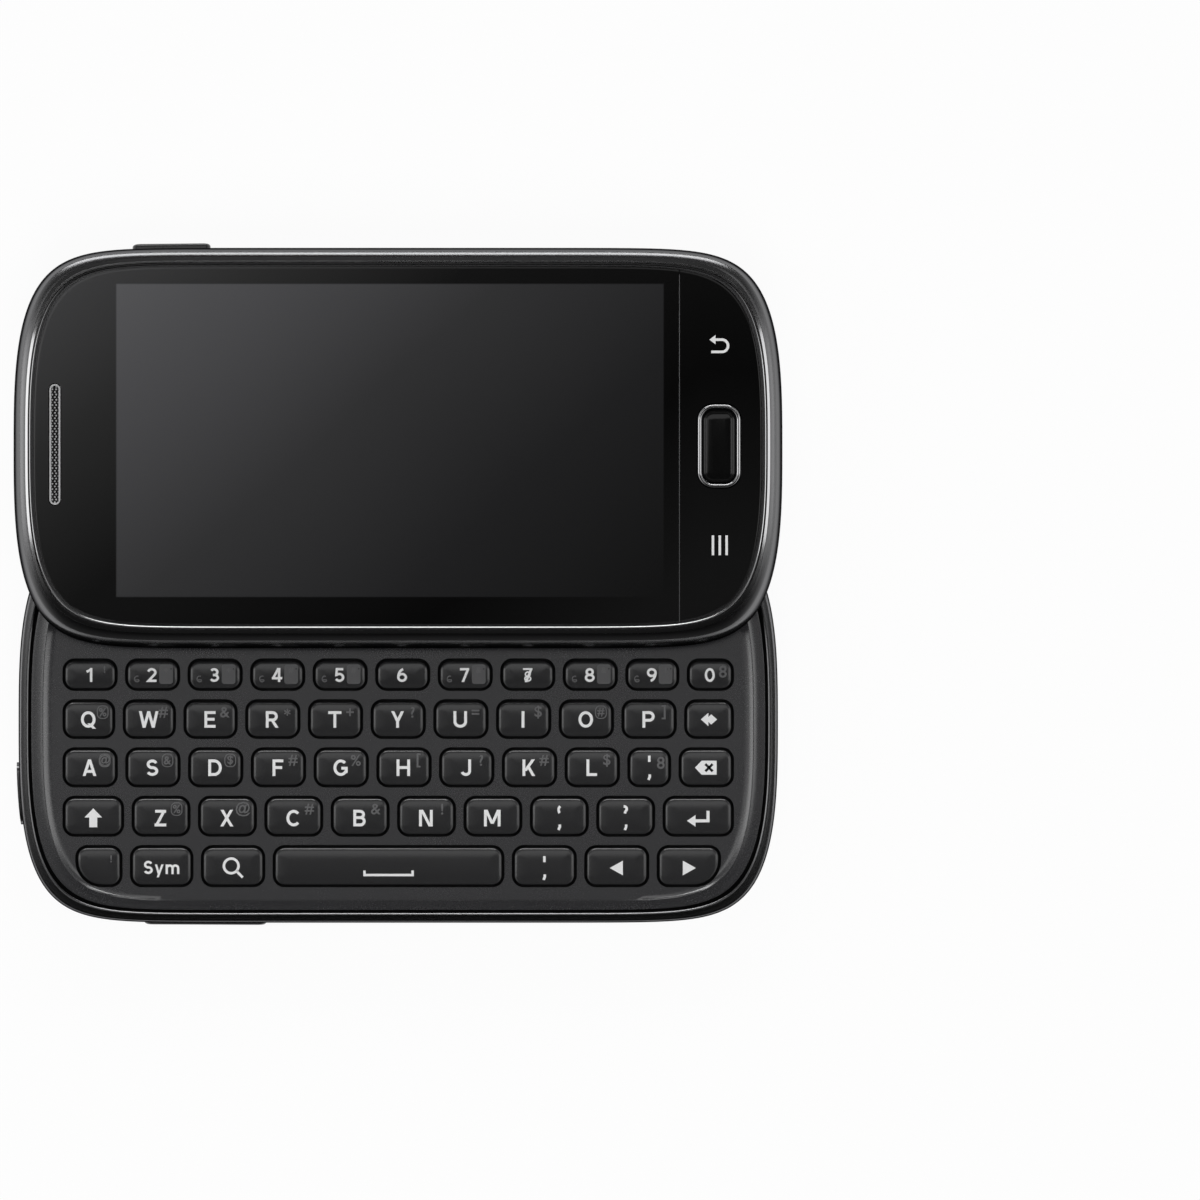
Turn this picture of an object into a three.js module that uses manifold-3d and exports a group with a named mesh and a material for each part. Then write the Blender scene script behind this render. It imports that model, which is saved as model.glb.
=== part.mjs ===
// Sideways slider phone with a full keyboard, lying on its back with the display half slid open.
// All sizes are millimetres. X runs along the phone, Y is the way the display half opens, and
// Z points up through the screen. The origin is the middle of the flat back of the battery cover.

import * as THREE from 'three';
import { mergeVertices } from 'three/addons/utils/BufferGeometryUtils.js';
import Module from 'manifold-3d';

const wasm = await Module();
wasm.setup();

// Outlines of the two halves
const lowerLength = 124.6;
const lowerWidth = 65.6;
const upperLength = 126;
const upperWidth = 65.6;
const sharedLength = Math.min(lowerLength, upperLength);
const sharedWidth = Math.min(lowerWidth, upperWidth);
const openOverlap = 20.6; // how much of the halves still lies over each other when open
const slideTravel = sharedWidth - openOverlap;
const endPowerShare = 11.4; // how square the ends of the outline are
const sidePowerShare = 3; // how square its long sides are
const quarterSteps = 13;

// Clearances and overruns
const cutOver = 3; // how far a cut runs past the wall it opens
const joinOver = 0.1; // how far two forms that become one piece run into each other
const weldGap = 0.0001;
const trimGap = 0.15; // round a fixed trim piece in its opening
const movingGap = 0.25; // round a piece that moves in its opening
const fitGap = 0.3; // between a piece and the wall beside it

// Heights in the keyboard half, from the table up
const coverSkin = 0.8;
const coverToBattery = 0.2;
const batteryThick = 3.7;
const batteryToBoard = 0.2;
const boardThick = 0.6;
const boardToMat = 0.1;
const matThick = 0.4;
const keyTravel = 0.3;
const keyFloorGap = 0.15;
const capThick = 1.1;
const capProud = 0.35;
const deckThick = 0.9;
const ridgeRise = 0.4;
const rimRise = 0.2;
const borderDrop = 0.22; // from the ridge out to the foot of the border
const halfGap = 0.25;

const batteryBottom = coverSkin + coverToBattery;
const batteryTop = batteryBottom + batteryThick;
const boardBottom = batteryTop + batteryToBoard;
const boardTop = boardBottom + boardThick;
const matBottom = boardTop + boardToMat;
const matTop = matBottom + matThick;
const capBottom = matTop + keyTravel + keyFloorGap;
const capTop = capBottom + capThick;
const deckTop = capTop - capProud;
const deckBottom = deckTop - deckThick;
const ridgeTop = deckTop + ridgeRise;
const borderTop = ridgeTop - borderDrop;
const rimTop = ridgeTop + rimRise;
const upperBottom = rimTop + halfGap;

// Heights in the display half
const lipThick = 0.4;
const railGap = 0.15;
const tongueThick = 0.6;
const slidePlateThick = 0.5;
const plateToPanel = 0.15;
const panelThick = 2.1;
const panelToGlass = 0.2;
const glassThick = 1.25;
const bezelRise = 0.25;
const bezelHeight = 0.9;

const lipTop = upperBottom + lipThick;
const tongueBottom = lipTop + railGap;
const tongueTop = tongueBottom + tongueThick;
const slidePlateBottom = tongueTop + railGap;
const slidePlateTop = slidePlateBottom + slidePlateThick;
const panelBottom = slidePlateTop + plateToPanel;
const panelTop = panelBottom + panelThick;
const glassBottom = panelTop + panelToGlass;
const glassTop = glassBottom + glassThick;
const bezelTop = glassTop + bezelRise;
const bezelBottom = bezelTop - bezelHeight;

// Rear housing: the rim's section, from its foot round the outside to the flat on top
const rimFoot = 1;
const rimInset = 1.5;
const rimShares = [[1, 0], [0.45, 0.03], [0.13, 0.11], [0, 0.27], [0, 0.74], [0.1, 0.89], [0.55, 1]];
const footWidth = 0.3;
const rimWall = 1.6;
const lowerWall = 2.6;
const floorThick = 0.7;
const bayWall = 0.8;
const bossRadius = 2;
const bossSides = 12;
const bossFromEnd = 10.6;
const bossFromSide = 12.5;
const bossX = lowerLength / 2 - bossFromEnd;
const bossY = lowerWidth / 2 - bossFromSide;

// Battery cover: its section, from the flat back out to the edge
const coverInset = 2.8;
const coverEdge = 1.5;
const coverCurve = 6.2;
const coverOuterShares = [[1, 0], [0.5, 0.06], [0.2, 0.22], [0.05, 0.45], [0, 0.7]];
const coverLip = 0.8;
const coverToFloor = 0.2;
const floorBottom = coverEdge + coverToFloor;
const floorTop = floorBottom + floorThick;

// Camera
const cameraFromEnd = 20.1;
const cameraX = cameraFromEnd - lowerLength / 2;
const cameraRingSize = 10.4;
const cameraRingCorner = 3.5;
const cameraRingWidth = 0.8;
const cameraRingBottom = 0.1;
const cameraWindowBottom = 0.5;
const lensRadius = 1.9;
const lensRecess = 0.4;
const lensHoleRadius = 2.6;
const lensBarrelRadius = 2.2;
const lensToWindow = 0.2;
const cameraModuleSize = 8.5;
const cameraModuleRise = 0.3;
const roundSides = 20;

// Battery, beside the camera
const batteryLength = 61;
const batterySide = 10.8; // from the battery to the outer edge of the long sides
const batteryWidth = lowerWidth - 2 * batterySide;
const cameraToBattery = 4;
const batteryStart = cameraX + cameraRingSize / 2 + cameraToBattery;
const batteryX = batteryStart + batteryLength / 2;
const batteryCorner = 1.5;
const bayGap = 0.4;
const bayStart = batteryStart - bayGap - bayWall;
const baySide = batteryWidth / 2 + bayGap + bayWall;

// Keys on the sides, and the socket openings
const sideKeyHeight = 2.2;
const sideKeyZ = 4.3;
const sideKeyDepth = 2;
const flangeThick = 0.7;
const flangeReach = 0.8;
const rockerFromEnd = 30.6;
const rockerX = rockerFromEnd - lowerLength / 2;
const rockerLength = 20.1;
const rockerProud = 0.4;
const cameraKeyFromEnd = 29.6;
const cameraKeyX = lowerLength / 2 - cameraKeyFromEnd;
const cameraKeyLength = 14.7;
const cameraKeyProud = 0.35;
const powerKeyFromEnd = 25.9;
const powerKeyX = powerKeyFromEnd - upperLength / 2;
const powerKeyLength = 12.8;
const powerKeyHeight = 1.9;
const powerKeyProud = 0.8;
const powerKeyRise = 1.7;
const portFromEnd = 46.9;
const portX = portFromEnd - lowerLength / 2;
const portLength = 8;
const portHeight = 2.4;
const portCorner = 0.6;
const portRimLength = 12.7;
const portRimHeight = 4.2;
const portProud = 0.45;
const portToBay = 1.2;
const endCoverY = -11.6;
const endCoverLength = 10.2;
const endCoverHeight = 3.4;
const endCoverProud = 0.4;

// Main board
const boardInset = 2.9;
const shieldStartShare = 0.191; // of the room between the battery and the end of the board
const shieldLengthShare = 0.637;
const shieldToBoss = 1.3;
const shieldThick = 2;
const speakerGap = 1.75; // to the boss on one side and the battery's bay on the other
const speakerWidth = 16;
const speakerThick = 2.2;
const speakerSide = 15.8;
const switchLength = 5;
const switchThick = 1;
const switchDepth = 1.6;

// Keypad frame and keys
const frameInset = 2.1;
const frameEdge = 0.15;
const borderWidth = 1.9; // from the frame's edge in to the ridge
const ridgeSlope = 1.4; // from the ridge down to the deck
const borderShares = [[0.08, 0], [0.6, 0.3], [1, 1]];
const ridgeShares = [[0.4, 0.65], [1, 1]];
const keyCorner = 1.55;
const cornerKeyShare = 0.65; // the large curve at the foot of the two end keys, of a key's short side
const keyCornerShare = 0.42; // a key's corners take at most this much of its short side
const cornerSteps = 2;
const keyGap = 2.05;
const keyRowGap = 2.2;
const keyClearance = 0.43;
const keyEndMargin = 7.65;
const bottomRowInset = 2.1;
const keysBelowDisplay = 2.05;
const keysToEdge = 6.25;
const capEdge = 0.3;
const matMargin = 1.6;

// The keys of each row from left to right, each with its share of the row's length, and each row
// with its share of the height of the field
const keyRowShares = [
  {
    height: 0.79,
    keys: {
      one: 1, two: 1, three: 1, four: 1, five: 1, six: 1, seven: 1, slash: 1, eight: 1, nine: 0.98, zero: 0.84,
    },
  },
  {
    height: 1,
    keys: { q: 0.95, w: 0.96, e: 0.98, r: 1, t: 1, y: 1, u: 1, i: 1, o: 1, p: 1, tab: 0.89 },
  },
  {
    height: 1.01,
    keys: { a: 1, s: 1, d: 1, f: 1, g: 1, h: 1, j: 1, k: 1, l: 1, apostrophe: 0.77, delete: 1 },
  },
  {
    height: 1.035,
    keys: { shift: 1.05, z: 1, x: 1, c: 1, b: 1, n: 1, m: 1, comma: 1, period: 1, enter: 1.23 },
  },
  {
    height: 1.07,
    keys: { corner: 0.71, sym: 0.985, search: 1, space: 3.82, quote: 1.01, left: 1.01, right: 1 },
  },
];

// Slide mechanism
const shoeFromEnd = 18.3;
const shoeOuter = sharedLength / 2 - shoeFromEnd;
const shoeWidth = 6;
const tongueReach = 1.2;
const railThick = 0.5;
const plateFlange = 2.5;
const plateSide = 5;
const plateHalfWidth = sharedWidth / 2 - plateSide;
const stopGap = 0.35;
const basePlateThick = 0.55;
const basePlateReach = 2.5;
const windowCorner = 1.5;
const panCorner = 0.6;
const plateWindowLengthShare = 0.59; // the window takes most of one half of the plate
const plateWindowLength = plateWindowLengthShare * shoeOuter;
const plateWindowSide = 12.8;
const plateWindowWidth = 2 * (plateHalfWidth - plateWindowSide);
const plateWindowX = shoeOuter / 2;
const springPinRadius = 1;
const springWire = 0.56;
const springBaseShare = 0.2273;
const springPlateShare = 0.5682;
const springBaseX = springBaseShare * shoeOuter;
const springPlateX = -springPlateShare * shoeOuter;
const springSwing = 3.6;
const springWaves = 2;
const springSteps = 60;
const wireSides = 6;

// Display half: the section of its side, from the foot up to the bezel
const sideInset = 1.6;
const sideStep = 0.5;
const sideTop = bezelTop - sideStep;
const sideShares = [[1, 0], [0.3, 0.06], [0, 0.2], [0, 0.36], [0.2, 0.62], [0.6, 0.87], [1, 1]];
const bezelShift = 0.45; // the bezel and glass sit this much nearer the top edge
const bezelInset = 2.05;
const bezelWidth = 0.8;
const bezelShares = [[0, 0], [0, 0.6], [0.25, 0.92], [0.56, 1], [0.88, 0.9], [1, 0.62], [1, 0]];
const glassInset = 3.4;
const glassEdge = 0.25;
const ledgeWidth = 0.8;
const panelFromLeft = 14;
const panelFromRight = 16.8;
const panelToWall = 1.6;
const panelLength = upperLength - panelFromLeft - panelFromRight;
const panelWidth = upperWidth - 2 * (glassInset + ledgeWidth + panelToWall);
const panelX = (panelFromLeft - panelFromRight) / 2;
const panelY = 0.4;
const panelCorner = 1;
const stripLength = 10;
const stripSide = 14.8;
const stripWidth = upperWidth - 2 * stripSide;
const stripThick = 0.6;
const homeSwitchRadius = 2.2;
const homeSwitchThick = 0.35;
const homeFromEnd = 10.4;
const homeX = upperLength / 2 - homeFromEnd;
const homeY = 0.35;
const homeRingLength = 7.05;
const homeRingWidth = 13.7;
const homeRingCorner = 2.6;
const homeRingWall = 0.7;
const homeRingRise = 0.2;
const homeButtonSink = 0.15;
const homeButtonEdge = 0.35;
const earpieceFromEnd = 6.9;
const earpieceX = earpieceFromEnd - upperLength / 2;
const earpieceY = 0.6;
const earpieceLength = 19.8;
const earpieceWidth = 1.8;
const earpieceHeight = 2.4;
const earpieceRim = 0.3;
const earpieceDip = 0.25;

// The superellipse of both halves at unit size: its reach in one direction is found by halving.
function unitPoint(angle) {
  const across = Math.abs(Math.cos(angle));
  const along = Math.abs(Math.sin(angle));
  let low = 1;
  let high = 2;
  for (let i = 0; i < 50; i += 1) {
    const reach = (low + high) / 2;
    if ((reach * across) ** endPowerShare + (reach * along) ** sidePowerShare < 1) low = reach;
    else high = reach;
  }
  return new THREE.Vector2(low * Math.cos(angle), low * Math.sin(angle));
}

// Directions of the points of one quarter, closer together where the edge turns.
function quarterDirections() {
  const fineSteps = 600;
  const turnShare = 1.3;
  const points = [];
  for (let i = 0; i <= fineSteps; i += 1) {
    points.push(unitPoint((Math.PI / 2) * (i / fineSteps)));
  }
  const measures = [0];
  let heading = Math.PI / 2;
  for (let i = 1; i <= fineSteps; i += 1) {
    const step = points[i].clone().sub(points[i - 1]);
    step.multiply(new THREE.Vector2(upperLength, upperWidth));
    const slope = Math.atan2(Math.abs(step.y), Math.abs(step.x));
    const turned = heading - slope;
    heading = slope;
    const walked = step.length() / (upperLength + upperWidth);
    measures.push(measures[i - 1] + walked + (turnShare * turned) / (Math.PI / 2));
  }
  const directions = [];
  for (let i = 0; i < quarterSteps; i += 1) {
    const wanted = (measures[fineSteps] * i) / quarterSteps;
    const found = measures.findIndex((measure) => measure >= wanted);
    directions.push((Math.PI / 2) * (found / fineSteps));
  }
  return directions;
}

const quarter = quarterDirections();
const mirrored = quarter.slice(1).reverse().map((angle) => Math.PI - angle);
const halfTurn = [...quarter, Math.PI / 2, ...mirrored];
const unitRing = [...halfTurn, ...halfTurn.map((angle) => angle + Math.PI)].map(unitPoint);

// Skin over equal rings of points. The points run anticlockwise seen from above and the rings go
// up on the outside. A hollow skin joins its last ring to its first, and others get two caps.
function skin(rings, hollow = false) {
  const count = rings[0].length;
  const faces = [];
  const spans = hollow ? rings.length : rings.length - 1;
  for (let level = 0; level < spans; level += 1) {
    const next = (level + 1) % rings.length;
    for (let i = 0; i < count; i += 1) {
      const j = (i + 1) % count;
      const corners = [level * count + i, level * count + j, next * count + j, next * count + i];
      faces.push(corners[0], corners[1], corners[2], corners[0], corners[2], corners[3]);
    }
  }
  if (!hollow) {
    const top = rings.length - 1;
    for (let i = 0; i < count; i += 1) {
      const j = (i + 1) % count;
      faces.push(rings.length * count, j, i);
      faces.push(rings.length * count + 1, top * count + i, top * count + j);
    }
  }
  const points = hollow ? rings.flat() : [...rings.flat(), middle(rings[0]), middle(rings.at(-1))];
  const geometry = new THREE.BufferGeometry().setFromPoints(points);
  geometry.setIndex(faces);
  return geometry;
}

function middle(ring) {
  return ring.reduce((sum, point) => sum.add(point), new THREE.Vector3()).divideScalar(ring.length);
}

// A solid that follows the outline of one half. Each rung gives how far it stands in from the edge
// and its height.
function outlineForm(length, width, rungs, shift = 0, hollow = false) {
  const rings = rungs.map(([inset, height]) => {
    const halfLength = length / 2 - inset;
    const halfWidth = width / 2 - inset;
    return unitRing.map((unit) => new THREE.Vector3(unit.x * halfLength, unit.y * halfWidth + shift, height));
  });
  return skin(rings, hollow);
}

function lowerForm(rungs) {
  return toSolid(outlineForm(lowerLength, lowerWidth, rungs));
}

function upperForm(rungs, shift = 0) {
  return toSolid(outlineForm(upperLength, upperWidth, rungs, shift));
}

// Corner points of a rounded rectangle about the origin. Radii go right top, left top, left
// bottom, right bottom.
function roundedPoints(length, width, radii, steps = cornerSteps) {
  const signs = [[1, 1], [-1, 1], [-1, -1], [1, -1]];
  const points = [];
  signs.forEach(([signX, signY], corner) => {
    const radius = Array.isArray(radii) ? radii[corner] : radii;
    const centre = new THREE.Vector2(signX * (length / 2 - radius), signY * (width / 2 - radius));
    for (let i = 0; i <= steps; i += 1) {
      const angle = (Math.PI / 2) * (corner + i / steps);
      const offset = new THREE.Vector2(Math.cos(angle), Math.sin(angle)).multiplyScalar(radius);
      points.push(centre.clone().add(offset));
    }
  });
  return points;
}

// Upright prism of a rounded rectangle
function prism(x, y, length, width, radii, bottom, top) {
  const shape = new THREE.Shape(roundedPoints(length, width, radii));
  const geometry = new THREE.ExtrudeGeometry(shape, { depth: top - bottom, bevelEnabled: false });
  return toSolid(geometry.translate(x, y, bottom));
}

// Prism of a rounded rectangle that lies along Y, for what goes through the long sides
function sidePrism(x, z, length, height, radius, low, high) {
  const shape = new THREE.Shape(roundedPoints(length, height, radius));
  const geometry = new THREE.ExtrudeGeometry(shape, { depth: high - low, bevelEnabled: false });
  return toSolid(geometry.rotateX(Math.PI / 2).translate(x, high, z));
}

// The same along X, for what goes through the ends
function endPrism(y, z, width, height, radius, low, high) {
  const shape = new THREE.Shape(roundedPoints(width, height, radius));
  const geometry = new THREE.ExtrudeGeometry(shape, { depth: high - low, bevelEnabled: false });
  return toSolid(geometry.rotateX(Math.PI / 2).rotateZ(Math.PI / 2).translate(low, y, z));
}

function cylinder(x, y, radius, bottom, top, sides = roundSides) {
  const geometry = new THREE.CylinderGeometry(radius, radius, top - bottom, sides);
  return toSolid(geometry.rotateX(Math.PI / 2).translate(x, y, (bottom + top) / 2));
}

function toSolid(geometry) {
  const plain = geometry.clone();
  plain.deleteAttribute('normal');
  plain.deleteAttribute('uv');
  const merged = mergeVertices(plain, weldGap);
  const mesh = new wasm.Mesh({
    numProp: 3,
    vertProperties: new Float32Array(merged.attributes.position.array),
    triVerts: new Uint32Array(merged.index.array),
  });
  return new wasm.Manifold(mesh);
}

function cut(solid, ...tools) {
  return tools.reduce((left, tool) => left.subtract(tool), solid);
}

function join(solid, ...more) {
  return more.reduce((sum, piece) => sum.add(piece), solid);
}

// Finishes
function finish(color, roughness, metalness = 0) {
  return new THREE.MeshStandardMaterial({ color, roughness, metalness });
}

const glossBlack = finish('#1b1c1e', 0.25);
const satinBlack = finish('#2a2b2d', 0.45);
const capBlack = finish('#222325', 0.35);
const coverBlack = finish('#2b2c2f', 0.6);
const gunmetal = finish('#3c3e41', 0.3, 0.6);
const chrome = finish('#d4d6d8', 0.12, 1);
const steel = finish('#9a9ca0', 0.35, 1);
const glass = finish('#101112', 0.08);
const panelGrey = finish('#3a3b3d', 0.4);
const boardGreen = finish('#20402c', 0.6);
const siliconeGrey = finish('#303133', 0.7);
const batteryGrey = finish('#55585c', 0.5);

const phone = new THREE.Group();
const keyboardHalf = new THREE.Group();
const displayHalf = new THREE.Group();
displayHalf.position.y = slideTravel;
phone.add(keyboardHalf, displayHalf);

function addPiece(group, name, piece, material) {
  let geometry = piece;
  if (piece instanceof wasm.Manifold) {
    const mesh = piece.getMesh();
    geometry = new THREE.BufferGeometry();
    geometry.setAttribute('position', new THREE.BufferAttribute(new Float32Array(mesh.vertProperties), 3));
    geometry.setIndex([...mesh.triVerts]);
  }
  const faceted = geometry.toNonIndexed();
  faceted.computeVertexNormals();
  const mesh = new THREE.Mesh(faceted, material);
  mesh.name = name;
  group.add(mesh);
  return mesh;
}

// A key in a long side of a half. It follows the side's curve, stands proud of it, and has a
// longer flange behind the wall that keeps it in. grow gives the half's form grown by a size.
function sideKey(grow, edge, side, key) {
  const outer = edge + key.proud + cutOver;
  const inner = edge - key.depth - cutOver;
  const [low, high] = side > 0 ? [inner, outer] : [-outer, -inner];
  const radius = key.height / 2;
  const stem = sidePrism(key.x, key.z, key.length, key.height, radius, low, high);
  const flangeLength = key.length + 2 * flangeReach;
  const flange = sidePrism(key.x, key.z, flangeLength, key.height, radius, low, high);
  const stemSlice = stem.intersect(grow(key.proud)).subtract(grow(-key.depth));
  const flangeFront = flangeThick - key.depth;
  const flangeSlice = flange.intersect(grow(flangeFront)).subtract(grow(-key.depth));
  return join(stemSlice, flangeSlice);
}

// The opening for such a key: a slot through the wall, and behind it room for the flange.
function sideSlot(edge, side, key, wall) {
  const length = key.length + 2 * movingGap;
  const height = key.height + 2 * movingGap;
  const longer = length + 2 * flangeReach;
  const slot = { low: edge - wall - cutOver, high: edge + cutOver };
  const pocketHigh = edge - key.depth + flangeThick + movingGap;
  const place = (span) => (side > 0 ? [span.low, span.high] : [-span.high, -span.low]);
  const outer = sidePrism(key.x, key.z, length, height, height / 2, ...place(slot));
  const pocket = sidePrism(key.x, key.z, longer, height, height / 2, ...place({ ...slot, high: pocketHigh }));
  return join(outer, pocket);
}

const lowerEdge = lowerWidth / 2;
const upperEdge = upperWidth / 2;
const volumeKey = {
  x: rockerX,
  z: sideKeyZ,
  length: rockerLength,
  height: sideKeyHeight,
  proud: rockerProud,
  depth: sideKeyDepth,
};
const cameraKey = { ...volumeKey, x: cameraKeyX, length: cameraKeyLength, proud: cameraKeyProud };
const powerKey = {
  x: powerKeyX,
  z: upperBottom + powerKeyRise,
  length: powerKeyLength,
  height: powerKeyHeight,
  proud: powerKeyProud,
  depth: sideKeyDepth,
};

function growLower(size) {
  return lowerForm([[-size, -cutOver], [-size, bezelTop + cutOver]]);
}

function growUpper(size) {
  return upperForm([[-size, -cutOver], [-size, bezelTop + cutOver]]);
}

// The rim of the rear housing, grown by a size, as rungs for lowerForm
function rimRungs(size = 0) {
  const height = rimTop - rimFoot;
  return rimShares.map(([inset, rise]) => [inset * rimInset - size, rimFoot + rise * height]);
}

// Where each key lies: its name, middle, size and corner radii
function keyPlaces() {
  const fieldTop = slideTravel - upperWidth / 2 - keysBelowDisplay;
  const fieldBottom = keysToEdge - lowerWidth / 2;
  const heightSum = keyRowShares.reduce((sum, row) => sum + row.height, 0);
  const free = fieldTop - fieldBottom - (keyRowShares.length - 1) * keyRowGap;
  const places = [];
  let top = fieldTop;
  keyRowShares.forEach((row, rowIndex) => {
    const bottomRow = rowIndex === keyRowShares.length - 1;
    const height = (free * row.height) / heightSum;
    const half = lowerLength / 2 - keyEndMargin - (bottomRow ? bottomRowInset : 0);
    const names = Object.keys(row.keys);
    const shareSum = Object.values(row.keys).reduce((sum, share) => sum + share, 0);
    const caps = 2 * half - (names.length - 1) * keyGap;
    let left = -half;
    names.forEach((name, index) => {
      const length = (caps * row.keys[name]) / shareSum;
      const shortSide = Math.min(length, height);
      const leftEnd = bottomRow && index === 0;
      const rightEnd = bottomRow && index === names.length - 1;
      const cornerShare = leftEnd || rightEnd ? 1 - cornerKeyShare : keyCornerShare;
      const small = Math.min(keyCorner, cornerShare * shortSide);
      const large = cornerKeyShare * shortSide;
      places.push({
        name: `key_${name}`,
        rowIndex,
        x: left + length / 2,
        y: top - height / 2,
        length,
        height,
        radii: [small, small, leftEnd ? large : small, rightEnd ? large : small],
      });
      left += length + keyGap;
    });
    top -= height + keyRowGap;
  });
  return places;
}

const keys = keyPlaces();
const fieldTop = Math.max(...keys.map((key) => key.y + key.height / 2));

// A key cap about its own middle: straight sides and a top drawn in at the edge
function capForm(key, bottom) {
  const ring = (inset, height) =>
    roundedPoints(
      key.length - 2 * inset,
      key.height - 2 * inset,
      key.radii.map((radius) => radius - inset),
    ).map((point) => new THREE.Vector3(point.x, point.y, height));
  return skin([ring(0, bottom), ring(0, capTop - capEdge), ring(capEdge, capTop)]);
}

// Tray with the side rim, the floor round the battery bay and the seats of board and keypad
function rearHousing() {
  const edgeTop = rimTop + cutOver;
  const recess = lowerForm([[rimInset + footWidth, -cutOver], [rimInset + footWidth, floorBottom]]);
  const boardRoom = lowerForm([[lowerWall, floorTop], [lowerWall, edgeTop]]);
  const frameRoom = lowerForm([[rimWall, deckBottom], [rimWall, edgeTop]]);
  const bayLength = batteryLength + 2 * bayGap;
  const bayWidth = batteryWidth + 2 * bayGap;
  const bayOuter = prism(
    batteryX, 0, bayLength + 2 * bayWall, bayWidth + 2 * bayWall, batteryCorner + bayWall,
    floorTop - joinOver, batteryTop,
  );
  const bay = prism(batteryX, 0, bayLength, bayWidth, batteryCorner, -cutOver, edgeTop);
  const portRim = sidePrism(
    portX, (floorTop + boardBottom) / 2, portRimLength, portRimHeight, portRimHeight / 2,
    lowerEdge - lowerWall + joinOver, lowerEdge + cutOver,
  ).intersect(lowerForm(rimRungs(portProud)));
  const endRim = endPrism(
    endCoverY, sideKeyZ, endCoverLength, endCoverHeight, endCoverHeight / 2,
    -lowerLength / 2 - cutOver, -lowerLength / 2 + lowerWall - joinOver,
  ).intersect(lowerForm(rimRungs(endCoverProud)));
  const port = sidePrism(
    portX, (floorTop + boardBottom) / 2, portLength, portHeight, portCorner,
    lowerEdge - lowerWall - cutOver, lowerEdge + cutOver,
  );
  const bosses = [[1, 1], [1, -1], [-1, 1], [-1, -1]].map(([signX, signY]) =>
    cylinder(
      signX * bossX, signY * bossY, bossRadius, floorTop - joinOver, boardBottom, bossSides,
    ),
  );
  const tray = cut(join(lowerForm(rimRungs()), portRim, endRim), recess, boardRoom, frameRoom);
  return cut(
    join(tray, bayOuter, ...bosses),
    bay, port, cylinder(cameraX, 0, lensHoleRadius, -cutOver, floorTop + cutOver),
    sideSlot(lowerEdge, -1, volumeKey, lowerWall), sideSlot(lowerEdge, 1, cameraKey, lowerWall),
  );
}

// Thin shell whose flat back curves up to its edge, with the camera's opening
function batteryCover() {
  const outer = coverOuterShares.map(([inset, rise]) => [coverInset + inset * coverCurve, rise * coverEdge]);
  const inner = coverOuterShares
    .slice(0, -2)
    .reverse()
    .map(([inset, rise]) => [coverInset + inset * coverCurve + joinOver, rise * coverEdge + coverSkin]);
  const edge = [[coverInset, coverEdge], [coverInset + coverLip, coverEdge]];
  const shell = lowerForm([...outer, ...edge, ...inner]);
  const size = cameraRingSize + 2 * fitGap;
  const opening = prism(cameraX, 0, size, size, cameraRingCorner + fitGap, -cutOver, coverEdge + cutOver);
  return cut(shell, opening);
}

function battery() {
  return prism(batteryX, 0, batteryLength, batteryWidth, batteryCorner, batteryBottom, batteryTop);
}

function cameraRing() {
  const innerSize = cameraRingSize - 2 * cameraRingWidth;
  const innerCorner = cameraRingCorner - cameraRingWidth;
  const outer = prism(
    cameraX, 0, cameraRingSize, cameraRingSize, cameraRingCorner, cameraRingBottom, floorBottom,
  );
  return cut(outer, prism(cameraX, 0, innerSize, innerSize, innerCorner, -cutOver, floorBottom + cutOver));
}

function cameraWindow() {
  const size = cameraRingSize - 2 * cameraRingWidth - 2 * trimGap;
  const corner = cameraRingCorner - cameraRingWidth - trimGap;
  const pane = prism(cameraX, 0, size, size, corner, cameraWindowBottom, floorBottom);
  return cut(pane, cylinder(cameraX, 0, lensRadius, -cutOver, cameraWindowBottom + lensRecess));
}

// Circuit board with what is soldered on it: camera, speaker, shield, port socket and switches
function mainBoard() {
  const plate = lowerForm([[boardInset, boardBottom], [boardInset, boardTop]]);
  const into = boardBottom + joinOver;
  const module = prism(
    cameraX, 0, cameraModuleSize, cameraModuleSize, batteryCorner, floorTop + cameraModuleRise, into,
  );
  const barrel = cylinder(
    cameraX, 0, lensBarrelRadius, floorBottom + lensToWindow, floorTop + cameraModuleRise + joinOver,
  );
  const batteryEnd = batteryX + batteryLength / 2;
  const shieldRoom = lowerLength / 2 - boardInset - batteryEnd;
  const shieldLength = shieldLengthShare * shieldRoom;
  const shield = prism(
    batteryEnd + shieldStartShare * shieldRoom + shieldLength / 2, 0,
    shieldLength, 2 * (bossY - bossRadius - shieldToBoss), batteryCorner, boardBottom - shieldThick, into,
  );
  const speakerStart = bossRadius - bossX + speakerGap;
  const speakerLength = bayStart - speakerGap - speakerStart;
  const speaker = prism(
    speakerStart + speakerLength / 2, speakerSide - lowerWidth / 2, speakerLength, speakerWidth,
    batteryCorner, boardBottom - speakerThick, into,
  );
  const portEdge = lowerEdge - lowerWall - fitGap;
  const portDepth = portEdge - baySide - portToBay;
  const portSocket = prism(
    portX, portEdge - portDepth / 2, portLength - 2 * trimGap, portDepth, portCorner, floorTop + fitGap, into,
  );
  const switches = [[rockerX, -1], [cameraKeyX, 1]].map(([x, side]) =>
    prism(
      x, side * (lowerEdge - boardInset - switchDepth / 2 - joinOver), switchLength, switchDepth,
      portCorner, sideKeyZ - switchThick / 2, into,
    ),
  );
  return join(plate, module, barrel, shield, speaker, portSocket, ...switches);
}

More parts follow.
